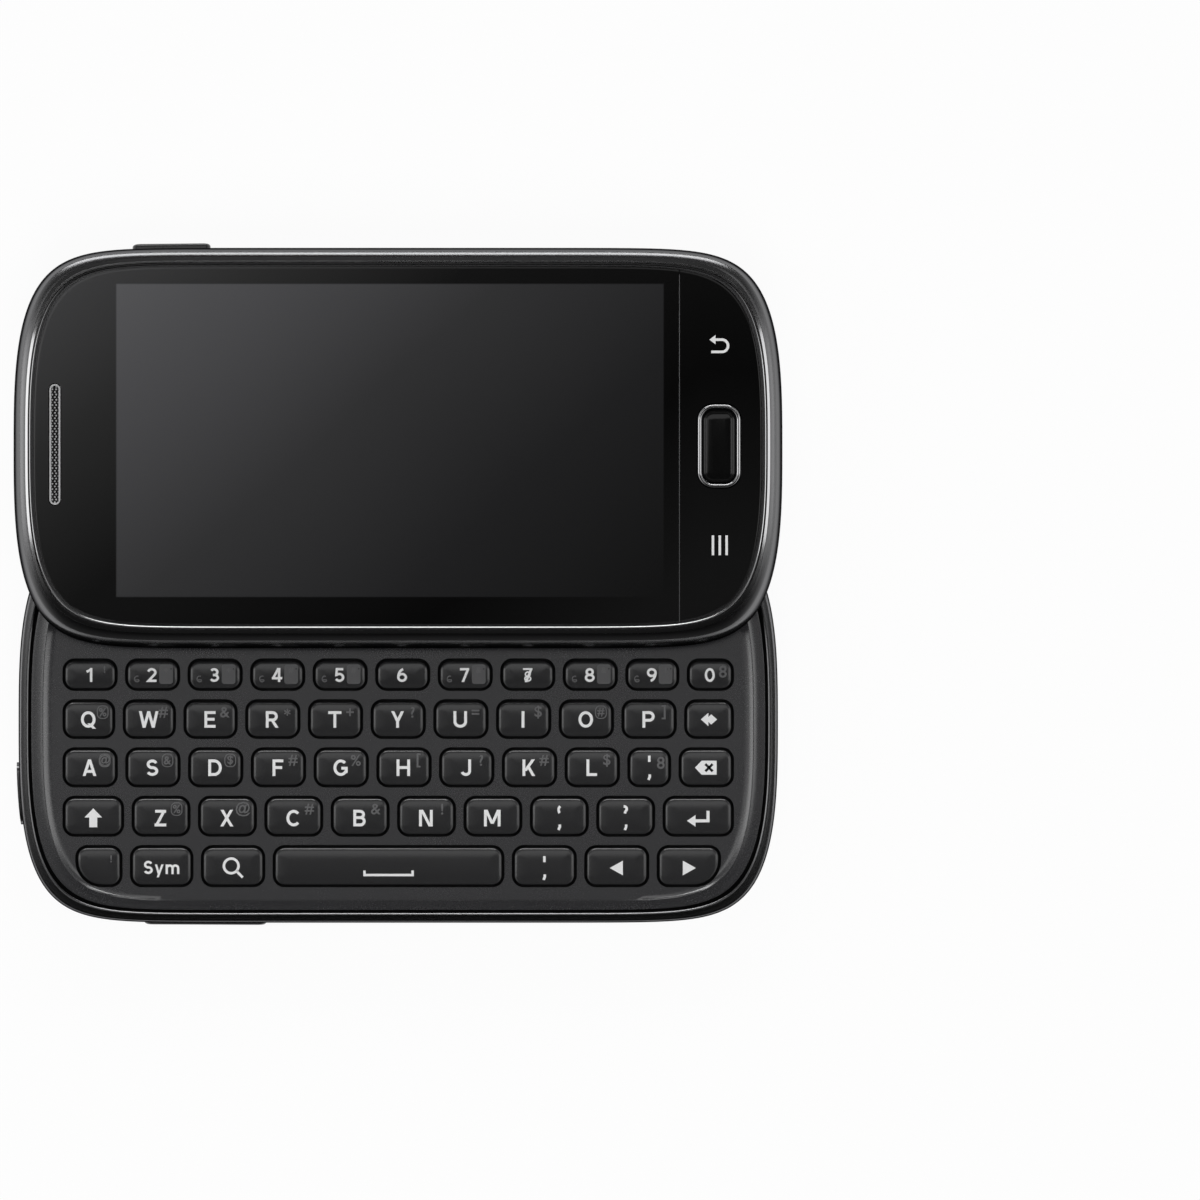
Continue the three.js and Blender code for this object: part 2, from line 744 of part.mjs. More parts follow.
// Silicone sheet under the keys, moulded in one with the caps of the number row
function keymat() {
  const sheetTop = fieldTop + matMargin;
  const sheetArea = prism(
    0, sheetTop - lowerWidth / 2, lowerLength, lowerWidth, keyCorner, matBottom, matTop,
  );
  const sheet = lowerForm([[boardInset, matBottom], [boardInset, matTop]]).intersect(sheetArea);
  const caps = keys
    .filter((key) => key.rowIndex === 0)
    .map((key) => toSolid(capForm(key, matTop - joinOver).translate(key.x, key.y, 0)));
  return join(sheet, ...caps);
}

// Top cover of the keyboard half: a border that rises to a ridge, the slope from there down to the
// deck, and a well for each key
function keypadFrame() {
  const ridge = frameInset + borderWidth;
  const border = borderShares.map(([across, rise]) => [
    frameInset + across * borderWidth,
    borderTop + rise * borderDrop,
  ]);
  const slope = ridgeShares.map(([across, fall]) => [ridge + across * ridgeSlope, ridgeTop - fall * ridgeRise]);
  const plate = lowerForm([
    [frameInset, deckBottom],
    [frameInset, borderTop - frameEdge],
    ...border,
    ...slope,
  ]);
  const wells = keys.map((key) =>
    prism(
      key.x, key.y, key.length + 2 * keyClearance, key.height + 2 * keyClearance,
      key.radii.map((radius) => radius + keyClearance), deckBottom - cutOver, deckTop + cutOver,
    ),
  );
  return cut(plate, ...wells);
}

// Where the shoes stand in the keyboard half, worked out from the rails and the travel
const shoeLow = slideTravel - plateHalfWidth + stopGap;
const shoeHigh = plateHalfWidth - stopGap;
const springBaseY = (shoeLow + shoeHigh) / 2;
const springPlateY = springBaseY - slideTravel / 2;
const springLevel = (upperBottom + slidePlateBottom) / 2;

// Steel plate on the deck with a guide shoe at each end, whose tongues run in the rails
function slideBase() {
  const deckEdge = frameInset + borderWidth + ridgeSlope + trimGap;
  const plateTop = deckTop + basePlateThick;
  const plateLow = shoeLow - basePlateReach;
  const plateRoom = prism(
    0, (plateLow + shoeHigh) / 2, 2 * shoeOuter, shoeHigh - plateLow, windowCorner, deckTop, plateTop,
  );
  const plate = lowerForm([[deckEdge, deckTop], [deckEdge, plateTop]]).intersect(plateRoom);
  const shoes = [-1, 1].map((side) => {
    const shoe = new THREE.Shape([
      new THREE.Vector2(side * (shoeOuter - shoeWidth), plateTop - joinOver),
      new THREE.Vector2(side * shoeOuter, plateTop - joinOver),
      new THREE.Vector2(side * shoeOuter, tongueBottom),
      new THREE.Vector2(side * (shoeOuter + tongueReach), tongueBottom),
      new THREE.Vector2(side * (shoeOuter + tongueReach), tongueTop),
      new THREE.Vector2(side * (shoeOuter - shoeWidth), tongueTop),
    ]);
    const geometry = new THREE.ExtrudeGeometry(shoe, { depth: shoeHigh - shoeLow, bevelEnabled: false });
    return toSolid(geometry.rotateX(Math.PI / 2).translate(0, shoeHigh, 0));
  });
  const pin = cylinder(
    springBaseX, springBaseY, springPinRadius, plateTop - joinOver, slidePlateBottom - movingGap, bossSides,
  );
  return join(plate, ...shoes, pin);
}

// Steel plate across the display half. Its edges are folded down and in, as rails for the shoes.
function slidePlate() {
  const inner = shoeOuter + tongueReach + railGap;
  const outer = inner + railThick;
  const lip = shoeOuter + railGap;
  const flange = outer + plateFlange;
  const rail = [
    [inner, slidePlateBottom], [inner, lipTop], [lip, lipTop], [lip, upperBottom],
    [outer, upperBottom], [outer, slidePlateBottom], [flange, slidePlateBottom], [flange, slidePlateTop],
  ];
  const otherRail = rail.map(([x, z]) => [-x, z]).reverse();
  const section = [...rail, ...otherRail].map(([x, z]) => new THREE.Vector2(x, z));
  const geometry = new THREE.ExtrudeGeometry(new THREE.Shape(section), {
    depth: 2 * plateHalfWidth,
    bevelEnabled: false,
  });
  const folded = toSolid(geometry.rotateX(Math.PI / 2).translate(0, plateHalfWidth, 0));
  const plateWall = glassInset + ledgeWidth + fitGap;
  const room = upperForm(
    [[plateWall, upperBottom - cutOver], [plateWall, slidePlateTop + cutOver]],
    bezelShift,
  );
  const pin = cylinder(
    springPlateX, springPlateY, springPinRadius, upperBottom + railGap, slidePlateBottom + joinOver, bossSides,
  );
  const window = prism(
    plateWindowX, 0, plateWindowLength, plateWindowWidth, windowCorner,
    slidePlateBottom - cutOver / 2, slidePlateTop + cutOver,
  );
  return join(cut(folded.intersect(room), window), pin);
}

// Middle line of the wire spring in the display half's own places: an eye round the pin of the
// slide base, waves that store the force, and an eye round the pin of the slide plate.
function springLine() {
  const start = new THREE.Vector2(springBaseX, springBaseY - slideTravel);
  const end = new THREE.Vector2(springPlateX, springPlateY);
  const span = end.clone().sub(start);
  const along = span.clone().normalize();
  const across = new THREE.Vector2(-along.y, along.x);
  const eyeRadius = springPinRadius + fitGap + springWire / 2;
  const eyeStart = Math.PI / 4;
  const eyeEnd = (5 * Math.PI) / 3;
  const eyeSteps = 8;
  const waveSteps = 24;
  const eye = [];
  for (let i = 0; i <= eyeSteps; i += 1) {
    const angle = eyeStart + (eyeEnd - eyeStart) * (i / eyeSteps);
    eye.push(new THREE.Vector2(Math.cos(angle), Math.sin(angle)).multiplyScalar(eyeRadius));
  }
  const waves = [];
  const lead = 2 * eyeRadius;
  for (let i = 0; i <= waveSteps; i += 1) {
    const share = i / waveSteps;
    const swing = springSwing * Math.sin(2 * Math.PI * springWaves * share);
    waves.push(new THREE.Vector2(lead + share * (span.length() - 2 * lead), swing));
  }
  const farEye = eye.map((point) => new THREE.Vector2(span.length() - point.x, -point.y)).reverse();
  return [...eye, ...waves, ...farEye].map((local) => {
    const place = start.clone().addScaledVector(along, local.x).addScaledVector(across, local.y);
    return new THREE.Vector3(place.x, place.y, springLevel);
  });
}

function slideSpring() {
  const section = [];
  for (let i = 0; i < wireSides; i += 1) {
    const angle = (2 * Math.PI * i) / wireSides;
    section.push(new THREE.Vector2(Math.cos(angle), Math.sin(angle)).multiplyScalar(springWire / 2));
  }
  const path = new THREE.CatmullRomCurve3(springLine());
  console.log(`spring: least gap to itself ${leastGap(path).toFixed(2)} mm`);
  return toSolid(
    new THREE.ExtrudeGeometry(new THREE.Shape(section), {
      steps: springSteps,
      extrudePath: path,
      bevelEnabled: false,
    }),
  );
}

// Least gap between two turns of the wire, measured on points along it. Points nearer to each other
// along the wire than a few of its thicknesses belong to the same bend and aren't compared.
function leastGap(path) {
  const points = path.getSpacedPoints(springSteps * 4);
  const pitch = path.getLength() / (points.length - 1);
  const sameBend = Math.ceil((4 * springWire) / pitch);
  let least = Infinity;
  points.forEach((point, index) => {
    points.slice(index + sameBend).forEach((other) => {
      least = Math.min(least, point.distanceTo(other) - springWire);
    });
  });
  return least;
}

// Tray of the display half: the rounded side band, the seats of bezel and glass, and the pan on
// its back in which the slide mechanism runs
function displayHousing() {
  const height = sideTop - upperBottom;
  const above = bezelTop + cutOver;
  const wallSkin = toSolid(
    skin(
      sideShares.map(([inset, rise]) =>
        unitRing.map(
          (unit) =>
            new THREE.Vector3(
              unit.x * (upperLength / 2 - inset * sideInset),
              unit.y * (upperWidth / 2 - inset * sideInset) + bezelShift * rise * rise,
              upperBottom + rise * height,
            ),
        ),
      ),
    ),
  );
  const bezelRoom = bezelInset - trimGap;
  const bezelSeat = upperForm([[bezelRoom, bezelBottom], [bezelRoom, above]], bezelShift);
  const glassRoom = glassInset - fitGap;
  const glassSeat = upperForm([[glassRoom, glassBottom], [glassRoom, above]], bezelShift);
  const roomInset = glassInset + ledgeWidth;
  const room = upperForm([[roomInset, slidePlateBottom], [roomInset, above]], bezelShift);
  const railOuter = shoeOuter + tongueReach + railGap + railThick;
  const pan = prism(
    0, 0, 2 * (railOuter + fitGap), 2 * (plateHalfWidth + fitGap), panCorner,
    upperBottom - cutOver, slidePlateBottom + cutOver,
  );
  const earpieceSlot = prism(
    earpieceX, earpieceY, earpieceWidth + 2 * trimGap, earpieceLength + 2 * trimGap,
    earpieceWidth / 2 + trimGap, glassTop - earpieceHeight, above,
  );
  const homeRoom = prism(
    homeX, homeY, homeRingLength + 2 * fitGap, homeRingWidth + 2 * fitGap, homeRingCorner, panelBottom, above,
  );
  return cut(
    wallSkin, bezelSeat, glassSeat, room, pan, earpieceSlot, homeRoom,
    sideSlot(upperEdge, 1, powerKey, sideKeyDepth + flangeThick),
  );
}

function bezelRing() {
  const rungs = bezelShares.map(([inset, rise]) => [
    bezelInset + inset * bezelWidth,
    bezelBottom + rise * bezelHeight,
  ]);
  return outlineForm(upperLength, upperWidth, rungs, bezelShift, true);
}

function frontGlass() {
  const pane = upperForm(
    [[glassInset, glassBottom], [glassInset, glassTop - glassEdge], [glassInset + glassEdge, glassTop]],
    bezelShift,
  );
  const homeOpening = prism(
    homeX, homeY, homeRingLength + 2 * trimGap, homeRingWidth + 2 * trimGap, homeRingCorner + trimGap,
    glassBottom - cutOver, glassTop + cutOver,
  );
  const earpieceOpening = prism(
    earpieceX, earpieceY, earpieceWidth + 2 * trimGap, earpieceLength + 2 * trimGap,
    earpieceWidth / 2 + trimGap, glassBottom - cutOver, glassTop + cutOver,
  );
  return cut(pane, homeOpening, earpieceOpening);
}

// Display module with the circuit strip and switch under the home button
function displayPanel() {
  const wall = glassInset + ledgeWidth + trimGap;
  const room = upperForm([[wall, slidePlateTop], [wall, glassBottom]], bezelShift);
  const panel = prism(panelX, panelY, panelLength, panelWidth, panelCorner, panelBottom, panelTop);
  const stripStart = panelX + panelLength / 2 - joinOver;
  const strip = prism(
    stripStart + stripLength / 2, homeY, stripLength, stripWidth, panelCorner,
    panelBottom, panelBottom + stripThick,
  );
  const homeSwitch = cylinder(
    homeX, homeY, homeSwitchRadius, panelBottom + stripThick - joinOver,
    panelBottom + stripThick + homeSwitchThick,
  );
  return join(panel, strip, homeSwitch).intersect(room);
}

function homeRing() {
  const top = glassTop + homeRingRise;
  const outer = prism(homeX, homeY, homeRingLength, homeRingWidth, homeRingCorner, glassBottom, top);
  const inner = prism(
    homeX, homeY, homeRingLength - 2 * homeRingWall, homeRingWidth - 2 * homeRingWall,
    homeRingCorner - homeRingWall, glassBottom - cutOver, top + cutOver,
  );
  return cut(outer, inner);
}

function homeButton() {
  const bottom = panelBottom + stripThick + homeSwitchThick + keyTravel + keyFloorGap;
  const top = glassTop - homeButtonSink;
  const key = {
    length: homeRingLength - 2 * homeRingWall - 2 * movingGap,
    height: homeRingWidth - 2 * homeRingWall - 2 * movingGap,
  };
  const corner = homeRingCorner - homeRingWall - movingGap;
  const ring = (inset, height) =>
    roundedPoints(key.length - 2 * inset, key.height - 2 * inset, corner - inset).map(
      (point) => new THREE.Vector3(point.x, point.y, height),
    );
  const rings = [ring(0, bottom), ring(0, top - homeButtonEdge), ring(homeButtonEdge, top)];
  return skin(rings).translate(homeX, homeY, 0);
}

// Metal strip over the earpiece, with a raised rim round its mesh
function earpieceGrille() {
  const outer = prism(
    earpieceX, earpieceY, earpieceWidth, earpieceLength, earpieceWidth / 2,
    glassTop - earpieceHeight, glassTop,
  );
  const dip = prism(
    earpieceX, earpieceY, earpieceWidth - 2 * earpieceRim, earpieceLength - 2 * earpieceRim,
    earpieceWidth / 2 - earpieceRim, glassTop - earpieceDip, glassTop + cutOver,
  );
  return cut(outer, dip);
}

addPiece(keyboardHalf, 'rear_housing', rearHousing(), gunmetal);
addPiece(keyboardHalf, 'battery_cover', batteryCover(), coverBlack);
addPiece(keyboardHalf, 'battery', battery(), batteryGrey);
addPiece(keyboardHalf, 'camera_ring', cameraRing(), chrome);
addPiece(keyboardHalf, 'camera_window', cameraWindow(), glass);
addPiece(keyboardHalf, 'main_board', mainBoard(), boardGreen);
addPiece(keyboardHalf, 'keymat', keymat(), siliconeGrey);
addPiece(keyboardHalf, 'keypad_frame', keypadFrame(), satinBlack);
addPiece(keyboardHalf, 'volume_rocker', sideKey(growLower, lowerEdge, -1, volumeKey), glossBlack);
addPiece(keyboardHalf, 'camera_key', sideKey(growLower, lowerEdge, 1, cameraKey), glossBlack);
addPiece(keyboardHalf, 'slide_base', slideBase(), steel);
keys
  .filter((key) => key.rowIndex > 0)
  .forEach((key) => {
    const cap = addPiece(keyboardHalf, key.name, capForm(key, capBottom), capBlack);
    cap.position.set(key.x, key.y, 0);
  });

addPiece(displayHalf, 'display_housing', displayHousing(), gunmetal);
addPiece(displayHalf, 'slide_plate', slidePlate(), steel);
addPiece(displayHalf, 'slide_spring', slideSpring(), steel);
addPiece(displayHalf, 'display_panel', displayPanel(), panelGrey);
addPiece(displayHalf, 'front_glass', frontGlass(), glass);
addPiece(displayHalf, 'bezel_ring', bezelRing(), chrome);
addPiece(displayHalf, 'earpiece_grille', earpieceGrille(), steel);
addPiece(displayHalf, 'home_ring', homeRing(), chrome);
addPiece(displayHalf, 'home_button', homeButton(), glossBlack);
addPiece(displayHalf, 'power_key', sideKey(growUpper, upperEdge, 1, powerKey), glossBlack);

export default phone;
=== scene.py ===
# Looks of a sideways slider phone, open on its back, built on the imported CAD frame.
# Sizes in this file are millimetres until makePiece turns them into metres.

import math

import bmesh
import bpy
import numpy as np
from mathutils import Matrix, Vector
from mathutils.geometry import tessellate_polygon


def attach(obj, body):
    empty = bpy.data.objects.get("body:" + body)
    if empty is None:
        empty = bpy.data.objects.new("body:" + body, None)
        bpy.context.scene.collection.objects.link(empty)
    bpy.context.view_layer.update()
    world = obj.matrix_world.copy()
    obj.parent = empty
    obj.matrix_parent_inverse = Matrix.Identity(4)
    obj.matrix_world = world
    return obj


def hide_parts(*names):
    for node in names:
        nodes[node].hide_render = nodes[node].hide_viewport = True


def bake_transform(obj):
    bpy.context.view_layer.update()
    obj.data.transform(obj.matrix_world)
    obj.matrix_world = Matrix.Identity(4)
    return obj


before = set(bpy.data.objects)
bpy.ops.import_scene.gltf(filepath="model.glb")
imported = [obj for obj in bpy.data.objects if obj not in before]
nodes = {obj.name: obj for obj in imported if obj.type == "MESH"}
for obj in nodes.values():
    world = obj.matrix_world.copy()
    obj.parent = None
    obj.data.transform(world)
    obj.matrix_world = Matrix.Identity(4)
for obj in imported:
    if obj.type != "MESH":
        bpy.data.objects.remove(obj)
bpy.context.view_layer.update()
mm = 0.001

# The outline that both halves share, and the levels that the pieces meet at
outline = {
    "endPower": 11.4,
    "sidePower": 3,
    "steps": 60,  # points in one quarter
    "turnShare": 1.3,  # how much closer they lie where it turns
    "lowerLength": 124.6,
    "upperLength": 126,
    "width": 65.6,
    "slide": 45,
    "bezelShift": 0.45,  # how much nearer the far edge the bezel and the glass lie
}
levels = {
    "floorBottom": 1.7, "floorTop": 2.4, "bayTop": 4.7, "boardBottom": 4.9, "matBottom": 5.6, "matTop": 6.0,
    "deckBottom": 6.3, "deckTop": 7.2, "rimTop": 7.8, "upperBottom": 8.05, "plateBottom": 9.35,
    "panelBottom": 10.0, "glassBottom": 12.3, "bezelBottom": 12.9, "sideTop": 13.3, "glassTop": 13.55,
    "bezelTop": 13.8,
}
overrun = 3  # how far a cutting form runs past what it cuts


# Colours and nodes

def linear(hexColor):
    channels = [int(hexColor[i:i + 2], 16) / 255 for i in (1, 3, 5)]
    return [c / 12.92 if c <= 0.04045 else ((c + 0.055) / 1.055) ** 2.4 for c in channels] + [1]


def feed(tree, node, inputs):
    # Each input takes a plain value or a link from another node
    for key, value in inputs.items():
        if isinstance(value, bpy.types.NodeSocket):
            tree.links.new(value, node.inputs[key])
        else:
            node.inputs[key].default_value = value


def addNode(tree, kind, inputs=None, **settings):
    node = tree.nodes.new(kind)
    for key, value in settings.items():
        setattr(node, key, value)
    feed(tree, node, inputs or {})
    return node


def calc(tree, operation, first, second=0.0):
    return addNode(tree, "ShaderNodeMath", {0: first, 1: second}, operation=operation).outputs[0]


def weighed(tree, *terms):
    # Sum of values, each times its share
    total, *others = [calc(tree, "MULTIPLY", value, share) for value, share in terms]
    for part in others:
        total = calc(tree, "ADD", total, part)
    return total


def ranged(tree, value, low=0, high=1, start=0, end=1):
    return addNode(tree, "ShaderNodeMapRange", {
        "Value": value, "From Min": start, "From Max": end, "To Min": low, "To Max": high}).outputs["Result"]


def mixed(tree, share, first, second):
    return addNode(tree, "ShaderNodeMix", {0: share, 6: first, 7: second}, data_type="RGBA").outputs[2]


def noise(tree, place, scale, detail):
    inputs = {"Vector": place, "Scale": scale, "Detail": detail}
    return addNode(tree, "ShaderNodeTexNoise", inputs).outputs["Fac"]


def bumped(tree, height, depth, strength=1):
    return addNode(tree, "ShaderNodeBump", {
        "Height": height, "Distance": depth * mm, "Strength": strength}).outputs["Normal"]


def ramp(tree, value, stops):
    node = addNode(tree, "ShaderNodeValToRGB", {"Fac": value})
    points = node.color_ramp.elements
    while len(points) < len(stops):
        points.new(0.5)
    for point, (at, tone) in zip(points, stops):
        point.position = at
        point.color = linear(tone)
    return node.outputs["Color"]


def objectPlace(tree, scale=(1, 1, 1), turn=0):
    place = addNode(tree, "ShaderNodeTexCoord").outputs["Object"]
    mapping = addNode(tree, "ShaderNodeMapping", {"Vector": place, "Scale": scale, "Rotation": (0, 0, turn)})
    return mapping.outputs["Vector"]


def newMaterial(name, color, settings=None):
    material = bpy.data.materials.new(name)
    material.use_nodes = True
    tree = material.node_tree
    bsdf = tree.nodes["Principled BSDF"]
    feed(tree, bsdf, {"Base Color": linear(color), **(settings or {})})
    return material, tree, bsdf


def grained(name, color, spread, grainSize, roughness, roughSpread, depth, settings=None):
    # A finely mottled surface: colour, roughness and height vary over grainSize, and colour and
    # roughness also over broad patches
    broad = 90  # per metre, so patches of some 11 mm
    material, tree, bsdf = newMaterial(name, color, settings)
    place = objectPlace(tree)
    fine = noise(tree, place, 1 / (grainSize * mm), 3)
    both = weighed(tree, (fine, 0.6), (noise(tree, place, broad, 2), 0.4))
    darker = [c * (1 - spread) for c in linear(color)[:3]] + [1]
    paler = [min(1, c * (1 + spread)) for c in linear(color)[:3]] + [1]
    feed(tree, bsdf, {
        "Base Color": mixed(tree, both, darker, paler),
        "Roughness": ranged(tree, both, roughness - roughSpread, roughness + roughSpread),
        "Normal": bumped(tree, fine, depth),
    })
    return material


# Metallic lacquer on moulded polycarbonate: dark, with fine flake that lights up where the side
# turns upwards and goes black again at a glancing angle. The flake of 0.16 mm is coarser than real.
shellLacquer = grained("metallicLacquer", "#7c7c7d", 0.04, 0.16, 0.25, 0.02, 0.0001,
                       {"Metallic": 1, "Specular Tint": linear("#262627")})

# Satin lacquer on the keypad frame: even, slightly soft highlights from a spark-eroded mould
deckLacquer = grained("satinLacquer", "#2b2b2d", 0.03, 0.12, 0.27, 0.02, 0.0002,
                      {"IOR": 1.9, "Specular IOR Level": 0.9})

# Near-black walls of the key wells and of the housing's inner rooms: painted shade in these recesses
paintedRecessShade = grained("recessPaintedShade", "#080808", 0.15, 0.2, 0.7, 0.05, 0.001, {"Specular IOR Level": 0.2})

# Moulded key caps under a hard clear lacquer: nearly black with a soft edge highlight
capLacquer = grained("keycapLacquer", "#282829", 0.08, 0.2, 0.24, 0.03, 0.0004, {"Specular IOR Level": 1})

# Laser-etched white print of the legends, slightly uneven at its edge
legendInk = grained("legendInk", "#eeeeee", 0.04, 0.15, 0.55, 0.05, 0.0005)

# Grey print of the second characters
markInk = grained("markInk", "#606061", 0.08, 0.15, 0.5, 0.05, 0.0005)

# Paler field of the smoked lacquer behind the digits' second characters
smokedPatch = grained("smokedPatch", "#555556", 0.08, 0.3, 0.35, 0.05, 0.0005)

# Electroplated chrome on moulded trim: a mirror with a faint orange peel
chromeTrim = grained("platedChrome", "#c6c6c7", 0.03, 3, 0.11, 0.02, 0.0001, {"Metallic": 1})

# Glossy black lacquer of the small buttons, with a wet-looking coat
buttonLacquer = grained("buttonLacquer", "#29292a", 0.1, 0.25, 0.28, 0.04, 0.0004,
                        {"Coat Weight": 0.5, "Coat Roughness": 0.08})

# Piano-black lacquer of the home key, deeper than the glass round it
pianoBlack = grained("pianoBlack", "#0c0c0c", 0.1, 2, 0.12, 0.03, 0.0002)

# Drawn spring wire: bright, with a slight draw line along it
springWire = grained("drawnSpringWire", "#9a9ca0", 0.12, 0.3, 0.28, 0.06, 0.002, {"Metallic": 1})

# Moulded silicone of the key mat, dull and near black: its darkness is also painted shade in the gaps between
# the keys
siliconeRubber = grained("mouldedSilicone", "#0b0b0c", 0.15, 0.25, 0.75, 0.05, 0.004)

# Shrink wrapper of the battery: smooth grey film with faint stretch marks
wrapFilm = grained("shrinkWrap", "#686b70", 0.1, 1.6, 0.42, 0.06, 0.01)

# Pressed metal back of the display module: grey, half dull
moduleCase = grained("displayCase", "#3a3b3e", 0.1, 0.5, 0.4, 0.06, 0.002, {"Metallic": 0.6})

# Smoked glass over the camera: black with a sharp reflection
smokedGlass = grained("smokedGlass", "#08080a", 0.1, 4, 0.05, 0.01, 0.0002)

# Black anodised lens barrel, and the violet coating of the lens itself
barrelBlack = grained("anodisedBarrel", "#4a4b4e", 0.1, 0.15, 0.4, 0.05, 0.001, {"Metallic": 0.4})
lensCoating = grained("lensCoating", "#191c2c", 0.2, 0.8, 0.05, 0.02, 0.0002,
                      {"Coat Weight": 1, "Coat Tint": linear("#8f95d8")})

# Pale strip in the groove beside the touch keys, a shade paler than the glass: a painted highlight along the
# seam
seamHighlight = grained("seamPaintedHighlight", "#515152", 0.1, 0.2, 0.4, 0.05, 0.0005)

# Matt nickel of the earpiece: its rim and its woven threads look bright from every side
mattNickel = grained("mattNickel", "#c9c9ca", 0.12, 0.15, 0.5, 0.06, 0.0006, {"Metallic": 0.35})

# Dark foam behind the mesh and dark moulding of the port's tongue: next to no light comes back
holeBlack = grained("holeBlack", "#070708", 0.2, 0.2, 0.8, 0.05, 0.001)

# Gold flash on the battery contacts
goldFlash = grained("goldFlash", "#c9a24b", 0.1, 0.3, 0.25, 0.05, 0.001, {"Metallic": 1})

# Rolled and stamped stainless sheet: long fine scratches along the phone, drawn 0.2 mm apart,
# coarser than real
sheetSteel, tree, bsdf = newMaterial("stampedSteel", "#8c8e92", {"Metallic": 1})
streaks = noise(tree, objectPlace(tree, (120, 5200, 5200)), 1, 3)
feed(tree, bsdf, {
    "Base Color": mixed(tree, streaks, linear("#7d7f83"), linear("#a2a4a8")),
    "Roughness": ranged(tree, streaks, 0.28, 0.46),
    "Normal": bumped(tree, streaks, 0.002),
})

# Green solder mask over copper: the traces show as slightly raised, paler lines
solderMask, tree, bsdf = newMaterial("solderMask", "#123822")
bricks = addNode(tree, "ShaderNodeTexBrick", {
    "Vector": objectPlace(tree), "Scale": 1, "Brick Width": 4.2 * mm, "Row Height": 1.3 * mm,
    "Mortar Size": 0.12 * mm, "Color1": linear("#12381f"), "Color2": linear("#174529"),
    "Mortar": linear("#2c6b40")})
feed(tree, bsdf, {
    "Base Color": bricks.outputs["Color"],
    "Roughness": 0.45,
    "Normal": bumped(tree, bricks.outputs["Fac"], 0.02),
})

# Cover glass printed black from behind; the field over the display stays a smoky grey. Over both lies a
# painted reflection, lighter towards one corner and darker towards the other.
screen = {"x": -1.27, "y": 46.26, "length": 89.54, "width": 51.2, "edge": 0.12}
coverGlass, tree, bsdf = newMaterial("printedCoverGlass", "#101010", {"Specular IOR Level": 0.35})
spot = addNode(tree, "ShaderNodeTexCoord").outputs["Object"]
axes = addNode(tree, "ShaderNodeSeparateXYZ", {"Vector": spot}).outputs


def insideBand(axis, middle, size):
    away = calc(tree, "ABSOLUTE", calc(tree, "SUBTRACT", axes[axis], middle * mm))
    return ranged(tree, away, start=(size / 2 + screen["edge"]) * mm, end=(size / 2 - screen["edge"]) * mm)


field = calc(tree, "MULTIPLY", insideBand("X", screen["x"], screen["length"]),
             insideBand("Y", screen["y"], screen["width"]))
# Painted reflection: lighter towards -X and +Y, darker towards +X and -Y, with a little noise in it
paintedReflectionFall = weighed(
    tree,
    (ranged(tree, axes["X"], start=-60 * mm, end=50 * mm), 0.66),
    (ranged(tree, axes["Y"], start=76 * mm, end=14 * mm), 0.44),
    (calc(tree, "SUBTRACT", noise(tree, spot, 14, 1), 0.5), 0.12),
)
printWithPaintedReflection = ramp(tree, paintedReflectionFall, [(0, "#49494a"), (0.25, "#2e2e2e"), (0.45, "#161616"), (0.8, "#090909"),
                            (1, "#161616")])
panelWithPaintedReflection = ramp(tree, paintedReflectionFall, [(0, "#666668"), (0.25, "#515153"), (0.5, "#373738"), (0.75, "#242425"),
                          (1, "#161616")])
feed(tree, bsdf, {
    "Base Color": mixed(tree, field, printWithPaintedReflection, panelWithPaintedReflection),
    "Roughness": ranged(tree, noise(tree, spot, 40, 4), 0.05, 0.12),
})

# Moulded cover with a fine diagonal weave embossed into it: ribs 0.6 mm apart, each cut across
# into short cells, which sparkle on the curved edge and read as dull cloth on the flat
twill = {"rib": 0.62, "cell": 0.5, "height": 0.035}
twillPlastic, tree, bsdf = newMaterial("twillEmbossedPlastic", "#2b2c2e")
turned = addNode(tree, "ShaderNodeSeparateXYZ", {"Vector": objectPlace(tree, turn=math.radians(45))}).outputs


def wave(value, spacing):
    return calc(tree, "SINE", calc(tree, "MULTIPLY", value, 2 * math.pi / (spacing * mm)))


rib = wave(turned["X"], twill["rib"])
cell = wave(calc(tree, "ADD", turned["Y"], calc(tree, "MULTIPLY", turned["X"], 0.5)), twill["cell"])
weave = weighed(tree, (rib, 0.6), (calc(tree, "MULTIPLY", rib, cell), 0.4))
mottled = weighed(tree, (ranged(tree, weave, start=-1), 0.8), (noise(tree, objectPlace(tree), 2500, 2), 0.2))
feed(tree, bsdf, {
    "Base Color": mixed(tree, mottled, linear("#18191a"), linear("#3b3c3f")),
    "Roughness": ranged(tree, mottled, 0.55, 0.34),
    "Normal": bumped(tree, mottled, twill["height"], 0.9),
})
print("materials ready")


# Outlines and profiles

def unitReach(angles):
    # Superellipse of unit size: its reach in each direction, found by halving
    across, along = np.abs(np.cos(angles)), np.abs(np.sin(angles))
    low, high = np.ones_like(angles), np.full_like(angles, 2.0)
    for _ in range(50):
        reach = (low + high) / 2
        inside = (reach * across) ** outline["endPower"] + (reach * along) ** outline["sidePower"] < 1
        low, high = np.where(inside, reach, low), np.where(inside, high, reach)
    return low


def unitPoints(angles):
    reach = unitReach(angles)
    return np.stack([reach * np.cos(angles), reach * np.sin(angles)], 1)


def unitRing():
    # Points of the outline, closer together where it turns
    fine = np.linspace(0, math.pi / 2, 1501)
    steps = np.diff(unitPoints(fine), axis=0) * (outline["upperLength"], outline["width"])
    slopes = np.arctan2(np.abs(steps[:, 1]), np.abs(steps[:, 0]))
    turned = -np.diff(np.concatenate([[math.pi / 2], slopes])) / (math.pi / 2)
    walked = np.hypot(steps[:, 0], steps[:, 1]) / (outline["upperLength"] + outline["width"])
    measure = np.concatenate([[0], np.cumsum(walked + outline["turnShare"] * turned)])
    wanted = measure[-1] * np.arange(outline["steps"]) / outline["steps"]
    quarter = np.interp(wanted, measure, fine)
    half = np.concatenate([quarter, [math.pi / 2], math.pi - quarter[:0:-1]])
    return unitPoints(np.concatenate([half, half + math.pi]))


unit = unitRing()


